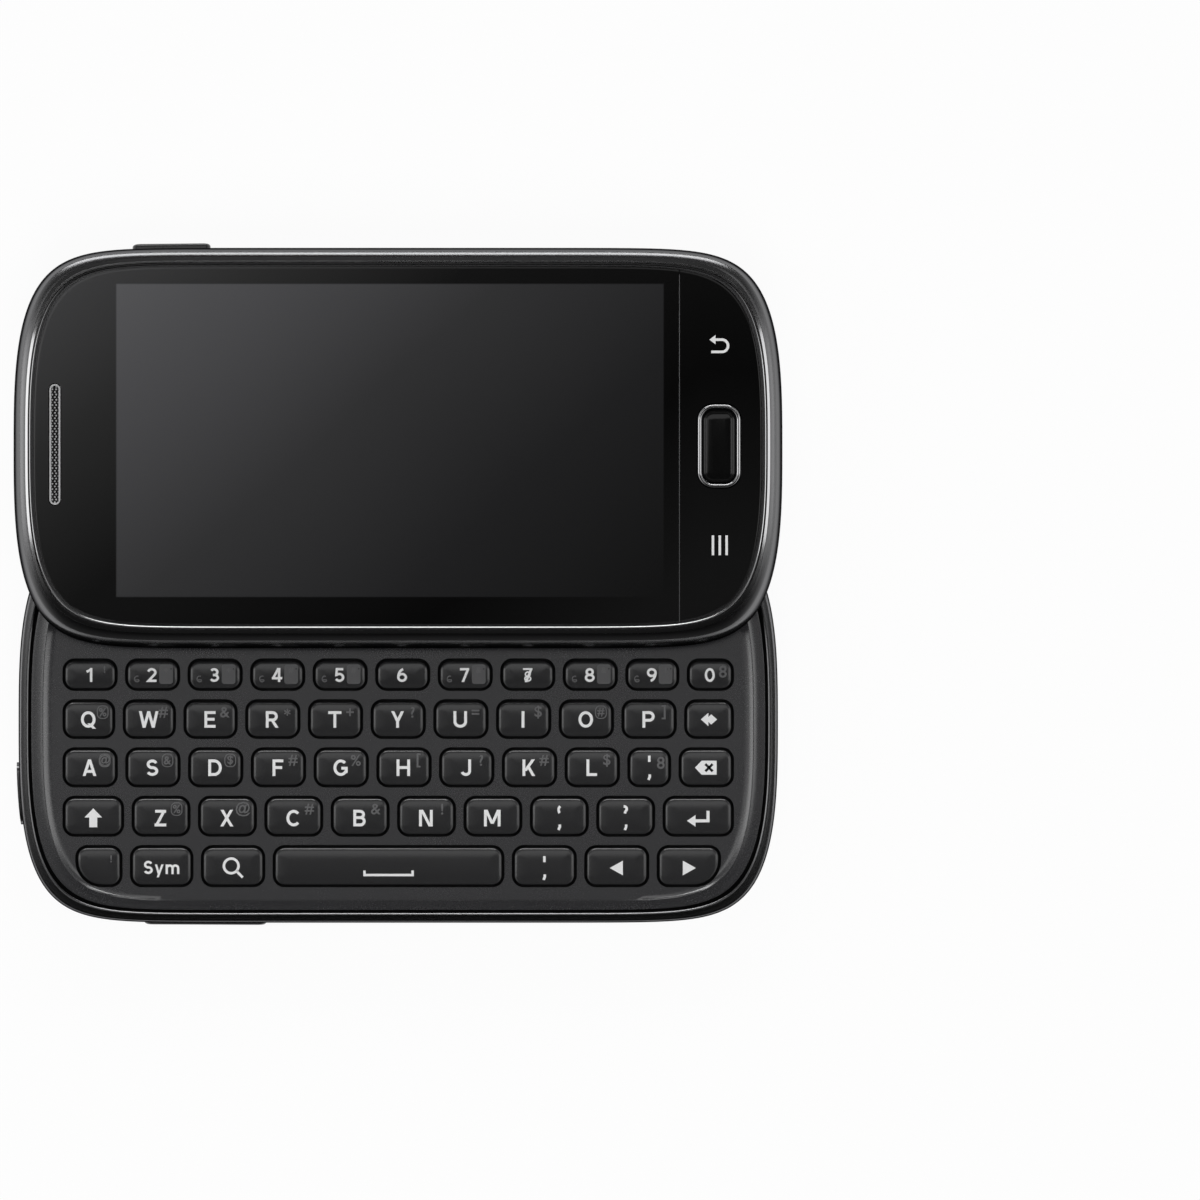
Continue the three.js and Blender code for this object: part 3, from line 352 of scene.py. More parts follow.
def outlineRing(length, inset, height, middleY=0, insetY=None):
    x = unit[:, 0] * (length / 2 - inset)
    y = unit[:, 1] * (outline["width"] / 2 - (inset if insetY is None else insetY)) + middleY
    return np.stack([x, y, np.full(len(unit), height)], 1)


def lowerRings(rungs):
    return [outlineRing(outline["lowerLength"], inset, height) for inset, height in rungs]


def upperRings(rungs, shift=outline["bezelShift"]):
    middleY = outline["slide"] + shift
    return [outlineRing(outline["upperLength"], inset, height, middleY) for inset, height in rungs]


def smoothed(points, steps=5):
    # Catmull-Rom through the points of a profile
    points = np.array(points, float)
    padded = np.vstack([2 * points[0] - points[1], points, 2 * points[-1] - points[-2]])
    out = []
    for i in range(len(points) - 1):
        p0, p1, p2, p3 = padded[i:i + 4]
        for t in np.arange(steps) / steps:
            out.append(0.5 * (2 * p1 + (p2 - p0) * t + (2 * p0 - 5 * p1 + 4 * p2 - p3) * t * t
                              + (3 * p1 - p0 - 3 * p2 + p3) * t ** 3))
    out.append(points[-1])
    return np.array(out)


def roundedRing(length, width, radii, steps=8):
    radii = radii if isinstance(radii, (list, tuple)) else [radii] * 4
    points = []
    for corner, (signX, signY) in enumerate([(1, 1), (-1, 1), (-1, -1), (1, -1)]):
        radius = radii[corner]
        for i in range(steps + 1):
            angle = math.pi / 2 * (corner + i / steps)
            points.append((signX * (length / 2 - radius) + radius * math.cos(angle),
                           signY * (width / 2 - radius) + radius * math.sin(angle)))
    return np.array(points)


def flatRing(points, height, x=0, y=0):
    return np.stack([points[:, 0] + x, points[:, 1] + y, np.full(len(points), height)], 1)


def uprightRing(points, x, y, z):
    return np.stack([points[:, 0] + x, np.full(len(points), y), points[:, 1] + z], 1)


def steppedRings(profile, size, leastCorner=0):
    # Rounded rectangles whose inset and height follow a profile
    return [flatRing(roundedRing(size["length"] - 2 * inset, size["width"] - 2 * inset,
                                 max(leastCorner, size["corner"] - inset)), z, size["x"], size["y"])
            for inset, z in profile]


# Pieces

def addObject(name, data):
    thing = bpy.data.objects.new(name, data)
    bpy.context.scene.collection.objects.link(thing)
    return thing


def finalMesh(thing):
    return bpy.data.meshes.new_from_object(thing.evaluated_get(bpy.context.evaluated_depsgraph_get()))


def makePiece(name, points, faces, materials):
    mesh = bpy.data.meshes.new(name)
    mesh.from_pydata([tuple(c * mm for c in point) for point in points], [], faces)
    for material in materials if isinstance(materials, (list, tuple)) else [materials]:
        mesh.materials.append(material)
    return addObject(name, mesh)


def smoothShade(piece, angle=32):
    piece.data.polygons.foreach_set("use_smooth", [True] * len(piece.data.polygons))
    piece.data.set_sharp_from_angle(angle=math.radians(angle))


def tidyNormals(piece, angle=32):
    work = bmesh.new()
    work.from_mesh(piece.data)
    bmesh.ops.recalc_face_normals(work, faces=work.faces)
    work.to_mesh(piece.data)
    work.free()
    smoothShade(piece, angle)


def skin(name, rings, materials, hollow=False):
    count, levelCount = len(rings[0]), len(rings)
    faces = []
    for level in range(levelCount if hollow else levelCount - 1):
        above = (level + 1) % levelCount
        for i in range(count):
            j = (i + 1) % count
            faces.append((level * count + i, level * count + j, above * count + j, above * count + i))
    if not hollow:
        faces.append(tuple(reversed(range(count))))
        faces.append(tuple(range((levelCount - 1) * count, levelCount * count)))
    piece = makePiece(name, np.vstack(rings), faces, materials)
    tidyNormals(piece)
    return piece


def form(rings):
    return skin("form", rings, [])


def prism(x, y, length, width, radii, bottom, top, material=None, name="form"):
    ring = roundedRing(length, width, radii)
    return skin(name, [flatRing(ring, bottom, x, y), flatRing(ring, top, x, y)], material or [])


def sidePrism(x, z, length, height, radius, low, high):
    ring = roundedRing(length, height, radius)
    return form([uprightRing(ring, x, y, z) for y in (low, high)])


def opening(size, gap, bottom, top):
    return prism(size["x"], size["y"], size["length"] + 2 * gap, size["width"] + 2 * gap,
                 size["corner"] + gap, bottom, top)


def bake(piece):
    mesh = finalMesh(piece)
    piece.modifiers.clear()
    piece.data = mesh


def combine(piece, operation, *forms):
    for other in forms:
        step = piece.modifiers.new(operation.lower(), "BOOLEAN")
        step.operation = operation
        step.solver = "EXACT"
        step.object = other
        bake(piece)
        bpy.data.objects.remove(other)


def shadedWhereCut(piece):
    # Where this form cuts a piece, the piece shows its second material, the near-black painted shade of the
    # recesses
    for material in (deckLacquer, paintedRecessShade):
        piece.data.materials.append(material)
    for polygon in piece.data.polygons:
        polygon.material_index = 1
    return piece


def joined(name, pieces):
    work = bmesh.new()
    materials = []
    for piece in pieces:
        part = piece.data.copy()
        slots = []
        for material in part.materials:
            if material not in materials:
                materials.append(material)
            slots.append(materials.index(material))
        for polygon in part.polygons:
            polygon.material_index = slots[polygon.material_index] if slots else 0
        work.from_mesh(part)
        bpy.data.objects.remove(piece)
    mesh = bpy.data.meshes.new(name)
    work.to_mesh(mesh)
    work.free()
    for material in materials:
        mesh.materials.append(material)
    return addObject(name, mesh)


def place(piece, body, slot, *replaced):
    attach(piece, body)
    if replaced:
        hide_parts(*replaced)


# Display half: the side band with the pan under it

displayShell = {
    "inset": 2,
    "shares": [(0.8, 0), (0.24, 0.06), (0, 0.2), (0, 0.36), (0.07, 0.55), (0.22, 0.745), (0.4, 0.86),
               (0.5, 0.905), (0.68, 0.951), (0.84, 0.981), (1, 1)],
    "rooms": [(2, "bezelBottom"), (3.1, "glassBottom"), (4.2, "plateBottom")],
    "pan": {"length": 92.3, "width": 56.2, "corner": 0.6},
}
earpiece = {"x": -56.1, "y": 45.6, "length": 1.8, "width": 19.8, "corner": 0.9, "height": 2.4, "gap": 0.15,
            "rim": 0.31, "threadDrop": 0.2, "foamDrop": 0.24, "foamFoot": 1, "foamCorner": 0.58}
home = {"x": 52.6, "y": 45.35, "length": 7.05, "width": 13.7, "corner": 2.6, "gap": 0.15, "roomGap": 0.3}
sideKeys = {
    "volume_rocker": {"x": -31.7, "z": 4.3, "length": 20.1, "height": 2.2, "proud": 0.4, "side": -1},
    "camera_key": {"x": 32.7, "z": 4.3, "length": 14.7, "height": 2.2, "proud": 0.35, "side": 1},
    "power_key": {"x": -37.1, "z": 9.75, "length": 12.8, "height": 1.9, "proud": 0.8, "side": 1},
}
edgeY = outline["width"] / 2
top = levels["glassTop"]
above = levels["bezelTop"] + overrun


def keySlot(key, middleY, depth=2.6, gap=0.25):
    # Slot through the wall round a side key
    low, high = edgeY - depth, edgeY + overrun
    if key["side"] < 0:
        low, high = -high, -low
    return sidePrism(key["x"], key["z"], key["length"] + 2 * gap, key["height"] + 2 * gap,
                     key["height"] / 2 + gap, low + middleY, high + middleY)


rings = []
for inset, rise in smoothed(displayShell["shares"], 4):
    height = levels["upperBottom"] + rise * (levels["sideTop"] - levels["upperBottom"])
    rings.append(outlineRing(outline["upperLength"], max(0, inset) * displayShell["inset"], height,
                             outline["slide"] + outline["bezelShift"] * rise * rise))
shell = skin("displayShell", rings, shellLacquer)
pan = displayShell["pan"]
combine(
    shell, "DIFFERENCE",
    *[form(upperRings([(inset, levels[bottom]), (inset, above)])) for inset, bottom in displayShell["rooms"]],
    prism(0, outline["slide"], pan["length"], pan["width"], pan["corner"],
          levels["upperBottom"] - overrun, levels["plateBottom"] + overrun),
    opening(earpiece, earpiece["gap"], top - earpiece["height"], above),
    prism(home["x"], home["y"], home["length"] + 2 * home["roomGap"], home["width"] + 2 * home["roomGap"],
          home["corner"], levels["panelBottom"], above),
    keySlot(sideKeys["power_key"], outline["slide"]),
)
smoothShade(shell)
place(shell, "display_half", "shell", "display_housing")
print("display shell ready")

# Chrome bezel: a rounded bead on top of the side band, wider along the long sides
bezel = {"inset": 2.05, "width": 0.8, "widthY": 1.05, "height": 0.9,
         "shares": [(0, 0.8), (0.1, 0.84), (0.2, 0.88), (0.3, 0.92), (0.4, 0.96), (0.485, 0.994), (0.5, 0.998),
                    (0.515, 1), (0.8, 1), (0.86, 0.994), (0.92, 0.968), (0.96, 0.942), (1, 0.911)]}
rings = []
for inset, rise in [(0, 0), *smoothed(bezel["shares"], 3), (1, 0)]:
    inset = min(1, max(0, inset))
    rings.append(outlineRing(
        outline["upperLength"], bezel["inset"] + inset * bezel["width"],
        levels["bezelBottom"] + min(1, rise) * bezel["height"],
        outline["slide"] + outline["bezelShift"], bezel["inset"] + inset * bezel["widthY"]))
place(skin("bezelTrim", rings, chromeTrim, hollow=True), "display_half", "chrome_trim", "bezel_ring")

# Front glass with a rounded edge, the two openings, and a groove beside the touch keys
glass = {"inset": 3.4, "edge": [(0, 0), (0, 1.0), (0.03, 1.12), (0.1, 1.19), (0.2, 1.235), (0.34, 1.25),
                                (0.5, 1.25)]}
seam = {"x": 46.1, "width": 0.22, "corner": 0.02, "depth": 0.12}
pane = skin("glassPane", upperRings([(glass["inset"] + inset, levels["glassBottom"] + rise)
                                     for inset, rise in glass["edge"]]), coverGlass)
combine(
    pane, "DIFFERENCE",
    opening(home, home["gap"], levels["glassBottom"] - overrun, above),
    opening(earpiece, earpiece["gap"], levels["glassBottom"] - overrun, above),
    prism(seam["x"], outline["slide"], seam["width"], outline["width"], seam["corner"],
          top - seam["depth"], above),
)
smoothShade(pane)
place(pane, "display_half", "dark_glass", "front_glass")

# Pale strip standing in the groove: the painted highlight along the seam
strip = {"inset": 3.8, "width": 0.14, "corner": 0.01, "foot": 0.3, "sunk": 0.01}
edge = skin("seamEdge", upperRings([(strip["inset"], top - strip[end]) for end in ("foot", "sunk")], 0),
            seamHighlight)
combine(edge, "INTERSECT", prism(seam["x"], outline["slide"], strip["width"], outline["width"],
                                 strip["corner"], levels["glassBottom"], above))
place(edge, "display_half", "dark_glass")
print("glass and bezel ready")


# Prints: flat outlines and strokes laid just over a surface

prints = {
    "longestEdge": 0.6,
    "step": 0.002,  # how much higher each piece of a print lies than the one before
    "letterGap": 0.14,
    "fontCapital": 0.682,  # how tall capitals are in the built-in font, as a share of its size
    "fontBoldness": 0.035,
}


def laidPrint(points, faces, height, material):
    # Flat faces cut up finely and lifted onto a curved surface
    piece = makePiece("print", [(x, y, 0) for x, y in points], faces, material)
    work = bmesh.new()
    work.from_mesh(piece.data)
    longEdges = [edge for edge in work.edges if edge.calc_length() > prints["longestEdge"] * mm]
    if longEdges:
        bmesh.ops.subdivide_edges(work, edges=longEdges, cuts=3, use_grid_fill=True)
    bmesh.ops.triangulate(work, faces=work.faces)
    for vertex in work.verts:
        vertex.co.z = height(vertex.co.x / mm, vertex.co.y / mm) * mm
    work.normal_update()
    for face in work.faces:
        if face.normal.z < 0:
            face.normal_flip()
    work.to_mesh(piece.data)
    work.free()
    return piece


def filled(polygon, height, material=legendInk):
    flat = [Vector((x, y, 0)) for x, y in polygon]
    return laidPrint(polygon, tessellate_polygon([flat]), height, material)


def ribbon(path, width):
    # Both edges of a line of even width, with mitred corners
    path = np.array(path, float)
    closed = np.allclose(path[0], path[-1])
    steps = np.diff(path, axis=0)
    steps /= np.linalg.norm(steps, axis=1)[:, None]
    normals = np.stack([-steps[:, 1], steps[:, 0]], 1)
    before = np.vstack([normals[-1:] if closed else normals[:1], normals])
    after = np.vstack([normals, normals[:1] if closed else normals[-1:]])
    reach = (before + after) / (1 + (before * after).sum(1))[:, None] * width / 2
    return path + reach, path - reach


def stroked(path, width, height, material=legendInk):
    left, right = ribbon(path, width)
    count = len(left)
    faces = [(i, i + 1, count + i + 1, count + i) for i in range(count - 1)]
    return laidPrint(np.vstack([left, right]), faces, height, material)


def bend(x, y, reachX, reachY, first, last, steps=12):
    angles = np.radians(np.linspace(first, last, steps + 1))
    return [(x + reachX * math.cos(a), y + reachY * math.sin(a)) for a in angles]


def raised(height, lift):
    return lambda x, y: height(x, y) + lift


def shifted(points, x, y):
    return [(px + x, py + y) for px, py in points]


def letters(text, x, y, capHeight, height):
    # Small marks in the built-in font
    curve = bpy.data.curves.new("mark", "FONT")
    curve.body = text
    curve.size = capHeight / prints["fontCapital"] * mm
    curve.offset = prints["fontBoldness"] * mm
    curve.resolution_u = 3
    flat = addObject("mark", curve)
    bpy.context.view_layer.update()
    low, high = flat.bound_box[0], flat.bound_box[6]
    middle = Vector(((low[0] + high[0]) / 2, (low[1] + high[1]) / 2, 0))
    mesh = finalMesh(flat)
    bpy.data.objects.remove(flat)
    points = [((v.co - middle).x / mm + x, (v.co - middle).y / mm + y) for v in mesh.vertices]
    return laidPrint(points, [tuple(p.vertices) for p in mesh.polygons], height, markInk)


# Letters and digits of the legends, one unit high on a line `pen` wide: each has its width, the
# lines that run along the middle of the pen, and the outlines that are filled
pen = 0.172
widen = 1.14  # how much wider than drawn they are printed
foot, waist, head = pen / 2, 0.51, 1 - pen / 2


def tilt(x0, y0, x1, y1):
    # A sloping bar whose ends are level
    half = pen / widen / 2 * math.hypot(x1 - x0, y1 - y0) / abs(y1 - y0)
    return [(x0 - half, y0), (x0 + half, y0), (x1 + half, y1), (x1 - half, y1)]


def bow(reach, x, y, reachX, reachY, last, steps=12):
    # Out along the head line, round to the right, and back to the stem
    return [(foot, head), (reach, head)] + bend(x, y, reachX, reachY, 90, -90, steps) + [(foot, last)]


def post(x, height=1):
    return [(x, 0), (x, height)]


def bar(start, end, y):
    return [(start, y), (end, y)]


stem = post(foot)
roundO = bend(0.4, 0.5, 0.31, 0.41, 0, 360, 28)
glyphs = {
    "A": (0.77, [bar(0.2, 0.57, 0.28)], [tilt(0.1, 0, 0.385, 1), tilt(0.67, 0, 0.385, 1)]),
    "B": (0.68, [stem, bow(0.36, 0.37, 0.72, 0.18, 0.19, 0.53),
                 bar(foot, 0.38, 0.53) + bend(0.39, 0.31, 0.2, 0.22, 90, -90) + [(foot, foot)]], []),
    "C": (0.74, [bend(0.4, 0.5, 0.31, 0.41, 42, 318, 22)], []),
    "D": (0.74, [stem, bow(0.3, 0.33, 0.5, 0.32, 0.41, foot, 16)], []),
    "E": (0.6, [stem, bar(foot, 0.6, head), bar(foot, 0.55, waist), bar(foot, 0.6, foot)], []),
    "F": (0.58, [stem, bar(foot, 0.58, head), bar(foot, 0.52, waist)], []),
    "G": (0.78, [bend(0.4, 0.5, 0.31, 0.41, 44, 325, 22) + [(0.69, 0.27), (0.69, 0.47), (0.43, 0.47)]], []),
    "H": (0.74, [stem, post(0.65), bar(foot, 0.65, waist)], []),
    "I": (pen, [stem], []),
    "J": (0.55, [[(0.46, 1), (0.46, 0.3)] + bend(0.26, 0.29, 0.2, 0.2, 0, -165, 14)], []),
    "K": (0.7, [stem], [tilt(0.15, 0.3, 0.58, 1), tilt(0.6, 0, 0.3, 0.6)]),
    "L": (0.57, [[(foot, 1), (foot, foot), (0.57, foot)]], []),
    "M": (0.9, [stem, post(0.81)], [tilt(0.45, 0.16, 0.12, 1), tilt(0.45, 0.16, 0.78, 1)]),
    "N": (0.75, [stem, post(0.66)], [tilt(0.6, 0, 0.15, 1)]),
    "O": (0.8, [roundO], []),
    "P": (0.66, [stem, bow(0.37, 0.38, 0.68, 0.2, 0.23, 0.45)], []),
    "Q": (0.8, [roundO], [tilt(0.72, -0.06, 0.46, 0.26)]),
    "R": (0.69, [stem, bow(0.37, 0.38, 0.69, 0.19, 0.22, 0.47)], [tilt(0.6, 0, 0.34, 0.47)]),
    "S": (0.66, [bend(0.33, 0.705, 0.22, 0.205, 22, 262, 14) + bend(0.33, 0.3, 0.24, 0.205, 86, -158, 14)], []),
    "T": (0.7, [bar(0, 0.7, head), post(0.35, head)], []),
    "U": (0.74, [[(foot, 1), (foot, 0.36)] + bend(0.37, 0.36, 0.28, 0.27, 180, 360, 14) + [(0.65, 1)]], []),
    "W": (1.06, [], [tilt(0.29, 0, 0.09, 1), tilt(0.29, 0, 0.53, 1), tilt(0.77, 0, 0.53, 1),
                     tilt(0.77, 0, 0.97, 1)]),
    "X": (0.74, [], [tilt(0.11, 0, 0.62, 1), tilt(0.63, 0, 0.12, 1)]),
    "Y": (0.74, [post(0.37, 0.45)], [tilt(0.37, 0.38, 0.11, 1), tilt(0.37, 0.38, 0.63, 1)]),
    "Z": (0.66, [bar(0.05, 0.63, head), bar(0.02, 0.64, foot)], [tilt(0.13, foot, 0.52, head)]),
    "0": (0.66, [bend(0.33, 0.5, 0.24, 0.41, 0, 360, 24)], []),
    "1": (0.5, [post(0.36), [(0.36, 0.9), (0.08, 0.72)]], []),
    "2": (0.66, [bend(0.32, 0.68, 0.225, 0.23, 165, -38, 14) + bar(0.12, 0.62, foot)], []),
    "3": (0.66, [bend(0.31, 0.705, 0.2, 0.205, 150, -90, 14) + bend(0.31, 0.3, 0.23, 0.205, 90, -152, 14)], []),
    "4": (0.7, [post(0.48), bar(0.03, 0.68, 0.27)], [tilt(0.11, 0.27, 0.45, 1)]),
    "5": (0.66, [[(0.56, head), (0.16, head), (0.13, 0.5)] + bend(0.32, 0.33, 0.235, 0.24, 132, -152, 14)], []),
    "6": (0.68, [bend(0.34, 0.33, 0.235, 0.24, 0, 360, 22), bend(0.47, 0.35, 0.365, 0.57, 100, 176, 10)], []),
    "7": (0.66, [bar(0.04, 0.62, head)], [tilt(0.22, 0, 0.54, head)]),
    "8": (0.68, [bend(0.34, 0.71, 0.19, 0.2, 0, 360, 20), bend(0.34, 0.3, 0.235, 0.21, 0, 360, 22)], []),
    "9": (0.68, [bend(0.34, 0.67, 0.235, 0.24, 0, 360, 22), bend(0.21, 0.65, 0.365, 0.57, -80, -4, 10)], []),
    "y": (0.62, [], [tilt(0.28, 0.02, 0.08, 0.72), tilt(0.2, -0.24, 0.54, 0.72)]),
    "m": (1.0, [post(foot, 0.72), bend(0.295, 0.45, 0.2, 0.19, 180, 0) + [(0.495, 0)],
                bend(0.695, 0.45, 0.2, 0.19, 180, 0) + [(0.895, 0)]], []),
}


def lettering(text, x, y, capHeight, height, penShare=1, stretch=widen):
    # The pieces of a word about its middle
    gap = prints["letterGap"]
    left = -(sum(glyphs[c][0] for c in text) + gap * (len(text) - 1)) / 2
    pieces = []
    for character in text:
        width, lines, fills = glyphs[character]
        for points in lines + fills:
            path = [((px + left) * stretch * capHeight + x, (py - 0.5) * capHeight + y) for px, py in points]
            on = raised(height, prints["step"] * len(pieces))
            isLine = any(points is line for line in lines)
            pieces.append(stroked(path, pen * penShare * capHeight, on) if isLine else filled(path, on))
        left += width + gap
    return pieces


# Touch-key icons printed on the glass: a line turning back on itself, and three bars
icons = {"back": (52.6, 61.9), "line": 0.42, "menu": (52.7, 29.1), "bar": 0.4, "pitch": 1.12, "reach": 1.62,
         "lift": 0.012}
backLine = [(-0.8, 0.85), (0.45, 0.85)] + bend(0.45, -0.15, 1, 1, 80, -80, 14) + [(0.4, -1.15), (-1.3, -1.15)]
backHead = [(-1.6, 0.85), (-0.6, 1.6), (-0.6, 0.1)]


def onGlass(x, y):
    return top + icons["lift"]


pieces = [stroked(shifted(backLine, *icons["back"]), icons["line"], onGlass),
          filled(shifted(backHead, *icons["back"]), raised(onGlass, prints["step"]))]
for step in (-1, 0, 1):
    line = [(step * icons["pitch"], -icons["reach"]), (step * icons["pitch"], icons["reach"])]
    pieces.append(stroked(shifted(line, *icons["menu"]), icons["bar"], onGlass))
place(joined("touchIcons", pieces), "display_half", "dark_glass")


# Home key: chrome bead round a glossy button with a stepped edge

bead = [(0, levels["glassBottom"]), (0, 13.45), (0.06, 13.6), (0.18, 13.7), (0.34, 13.75), (0.5, 13.71),
        (0.62, 13.6), (0.7, 13.4), (0.7, levels["glassBottom"])]
place(skin("homeBead", steppedRings(bead, home), chromeTrim, hollow=True),
      "display_half", "chrome_trim", "home_ring")
homeKey = {**home, "length": 5.15, "width": 11.8, "corner": 1.65,
           "profile": [(0, 11.4), (0, 13.0), (0.05, 13.14), (0.16, 13.22), (0.3, 13.25), (0.36, 13.22),
                       (0.42, 13.22), (0.5, 13.26), (0.62, 13.3), (0.9, 13.34), (1.3, 13.37), (1.5, 13.38)]}
place(skin("homeKey", steppedRings(homeKey["profile"], homeKey, 0.2), pianoBlack),
      "home_button", "gloss_button", "home_button")


# Earpiece: a bright rim round woven wire, laid by Geometry Nodes

rimProfile = [(0, top - earpiece["height"]), (0, top - 0.08), (0.06, top - 0.02), (0.15, top),
              (0.24, top - 0.04), (0.3, top - 0.14), (0.3, top - earpiece["height"])]
rimSize = {**earpiece, "corner": earpiece["corner"] - 0.001}
place(skin("earpieceRim", steppedRings(rimProfile, rimSize), mattNickel, hollow=True),
      "display_half", "grille_metal", "earpiece_grille")


def growFrom(name, base, inputs, material, build):
    # One instance of a form on each point, as build gives them, turned into a plain mesh
    group = bpy.data.node_groups.new(name, "GeometryNodeTree")
    for way in ("INPUT", "OUTPUT"):
        group.interface.new_socket("Geometry", in_out=way, socket_type="NodeSocketGeometry")
    identifiers = {}
    for label, value in inputs.items():
        kind = "NodeSocketInt" if isinstance(value, int) else "NodeSocketFloat"
        identifiers[label] = group.interface.new_socket(label, in_out="INPUT", socket_type=kind).identifier
    points, instance = build(group, addNode(group, "NodeGroupInput").outputs)
    spread = addNode(group, "GeometryNodeInstanceOnPoints", {"Points": points, "Instance": instance})
    real = addNode(group, "GeometryNodeRealizeInstances", {0: spread.outputs[0]})
    dressed = addNode(group, "GeometryNodeSetMaterial", {"Geometry": real.outputs[0], "Material": material})
    addNode(group, "NodeGroupOutput", {0: dressed.outputs[0]})
    step = base.modifiers.new(name, "NODES")
    step.node_group = group
    for label, value in inputs.items():
        step[identifiers[label]] = value
    bake(base)
    base.name = base.data.name = name
    return base


def wovenKnots(group, given):
    # A knot where two wires cross, every second row half a pitch aside
    pitch = given["Pitch"]
    grid = addNode(group, "GeometryNodeMeshGrid", {
        "Size X": calc(group, "MULTIPLY", pitch, given["Columns"]),
        "Size Y": calc(group, "MULTIPLY", pitch, given["Rows"]),
        "Vertices X": given["Columns"], "Vertices Y": given["Rows"]})
    position = addNode(group, "GeometryNodeInputPosition").outputs[0]
    y = addNode(group, "ShaderNodeSeparateXYZ", {0: position}).outputs["Y"]
    row = calc(group, "ROUND", calc(group, "DIVIDE", y, pitch))
    aside = calc(group, "MULTIPLY", calc(group, "FLOORED_MODULO", row, 2.0), pitch)
    offset = addNode(group, "ShaderNodeCombineXYZ", {0: calc(group, "MULTIPLY", aside, 0.5)}).outputs[0]
    moved = addNode(group, "GeometryNodeSetPosition", {"Geometry": grid.outputs["Mesh"], "Offset": offset})
    knot = addNode(group, "GeometryNodeMeshCone", {
        "Vertices": 6, "Radius Top": 0.03 * mm, "Radius Bottom": given["Bead"], "Depth": 0.14 * mm})
    return moved.outputs["Geometry"], knot.outputs["Mesh"]


threads = growFrom("wovenThreads", makePiece("weave", [(0, 0, 0)], [], mattNickel),
                   {"Pitch": 0.42 * mm, "Columns": 3, "Rows": 45, "Bead": 0.16 * mm}, mattNickel, wovenKnots)
for vertex in threads.data.vertices:
    vertex.co += Vector((earpiece["x"], earpiece["y"], top - earpiece["threadDrop"])) * mm
foam = prism(earpiece["x"], earpiece["y"], earpiece["length"] - 2 * earpiece["rim"],
             earpiece["width"] - 2 * earpiece["rim"], earpiece["foamCorner"],
             top - earpiece["foamFoot"], top - earpiece["foamDrop"], holeBlack, "foam")
place(joined("earpieceMesh", [foam, threads]), "display_half", "grille_metal")
print("home key and earpiece ready")


# Keyboard half: the rear housing with its rim, openings and inner seats

rim = {
    "foot": 1.0,
    "inset": 1.5,
    "shares": [(1, 0), (0.45, 0.03), (0.13, 0.11), (0, 0.27), (0, 0.816), (0.033, 0.868), (0.087, 0.919),
               (0.147, 0.956), (0.2, 0.973)],
    "bead": [(0.4, 7.667), (0.5, 7.69), (0.62, 7.7), (0.8, 7.715), (1.0, 7.745), (1.15, 7.775), (1.27, 7.795),
             (1.34, 7.8), (1.4, 7.793), (1.46, 7.763), (1.53, 7.718), (1.58, 7.68), (1.6, 7.6)],
    "wall": 1.6,
    "lowerWall": 2.6,
    "coverWall": 1.8,
}
join = 0.1  # how far forms that become one run into each other
shy = 0.01  # how much less than half its height the radius of a round end is
portZ = (levels["floorTop"] + levels["boardBottom"]) / 2
port = {"x": -15.4, "length": 8, "height": 2.4, "corner": 0.6}
portRim = {"length": 12.7, "height": 4.2, "proud": 0.45}
endPad = {"y": -11.6, "z": 4.3, "length": 10.2, "height": 3.4, "proud": 0.4}
bay = {"x": -2.5, "y": 0, "length": 61.8, "width": 44.8, "corner": 1.5, "wall": 0.8}
lensHole = {"x": -42.2, "radius": 2.6, "sides": 40}
above = levels["rimTop"] + overrun


def rimForm(grown=0):
    span = levels["rimTop"] - rim["foot"]
    rungs = [(max(0, inset) * rim["inset"] - grown, rim["foot"] + min(1, rise) * span)
             for inset, rise in smoothed(rim["shares"], 4)]
    return lowerRings(rungs + [(inset - grown, z) for inset, z in rim["bead"]])


def room(inset, bottom, height=above):
    return form(lowerRings([(inset, bottom), (inset, height)]))


tray = skin("keyboardShell", rimForm(), [shellLacquer, paintedRecessShade])
oblong = sidePrism(port["x"], portZ, portRim["length"], portRim["height"], portRim["height"] / 2 - shy,
                   edgeY - rim["lowerWall"] + join, edgeY + overrun)
combine(oblong, "INTERSECT", form(rimForm(portRim["proud"])))
padRing = roundedRing(endPad["length"], endPad["height"], endPad["height"] / 2 - shy)
endX = outline["lowerLength"] / 2
pad = form([np.stack([np.full(len(padRing), x), padRing[:, 0] + endPad["y"], padRing[:, 1] + endPad["z"]], 1)
            for x in (-endX - overrun, -endX + rim["lowerWall"] - join)])
combine(pad, "INTERSECT", form(rimForm(endPad["proud"])))
# Walls of the inner rooms take the near-black painted shade
combine(tray, "DIFFERENCE", room(rim["coverWall"], -overrun, levels["floorBottom"]),
        shadedWhereCut(room(rim["lowerWall"], levels["floorTop"])),
        shadedWhereCut(room(rim["wall"], levels["deckBottom"])))
combine(tray, "UNION", opening(bay, bay["wall"], levels["floorTop"] - join, levels["bayTop"]), oblong, pad)
holeRing = np.array(bend(lensHole["x"], 0, lensHole["radius"], lensHole["radius"],
                         0, 360 - 360 / lensHole["sides"], lensHole["sides"] - 1))
combine(
    tray, "DIFFERENCE",
    opening(bay, 0, -overrun, above),
    sidePrism(port["x"], portZ, port["length"], port["height"], port["corner"],
              edgeY - rim["lowerWall"] - overrun, edgeY + overrun),
    form([flatRing(holeRing, z) for z in (-overrun, levels["floorTop"] + overrun)]),
    keySlot(sideKeys["volume_rocker"], 0), keySlot(sideKeys["camera_key"], 0),
)
smoothShade(tray)
place(tray, "keyboard_half", "shell", "rear_housing")
print("keyboard shell ready")


# Side keys: rounded pads that follow the curve of the side

def sideReach(x, length):
    return edgeY * (1 - abs(2 * x / length) ** outline["endPower"]) ** (1 / outline["sidePower"])


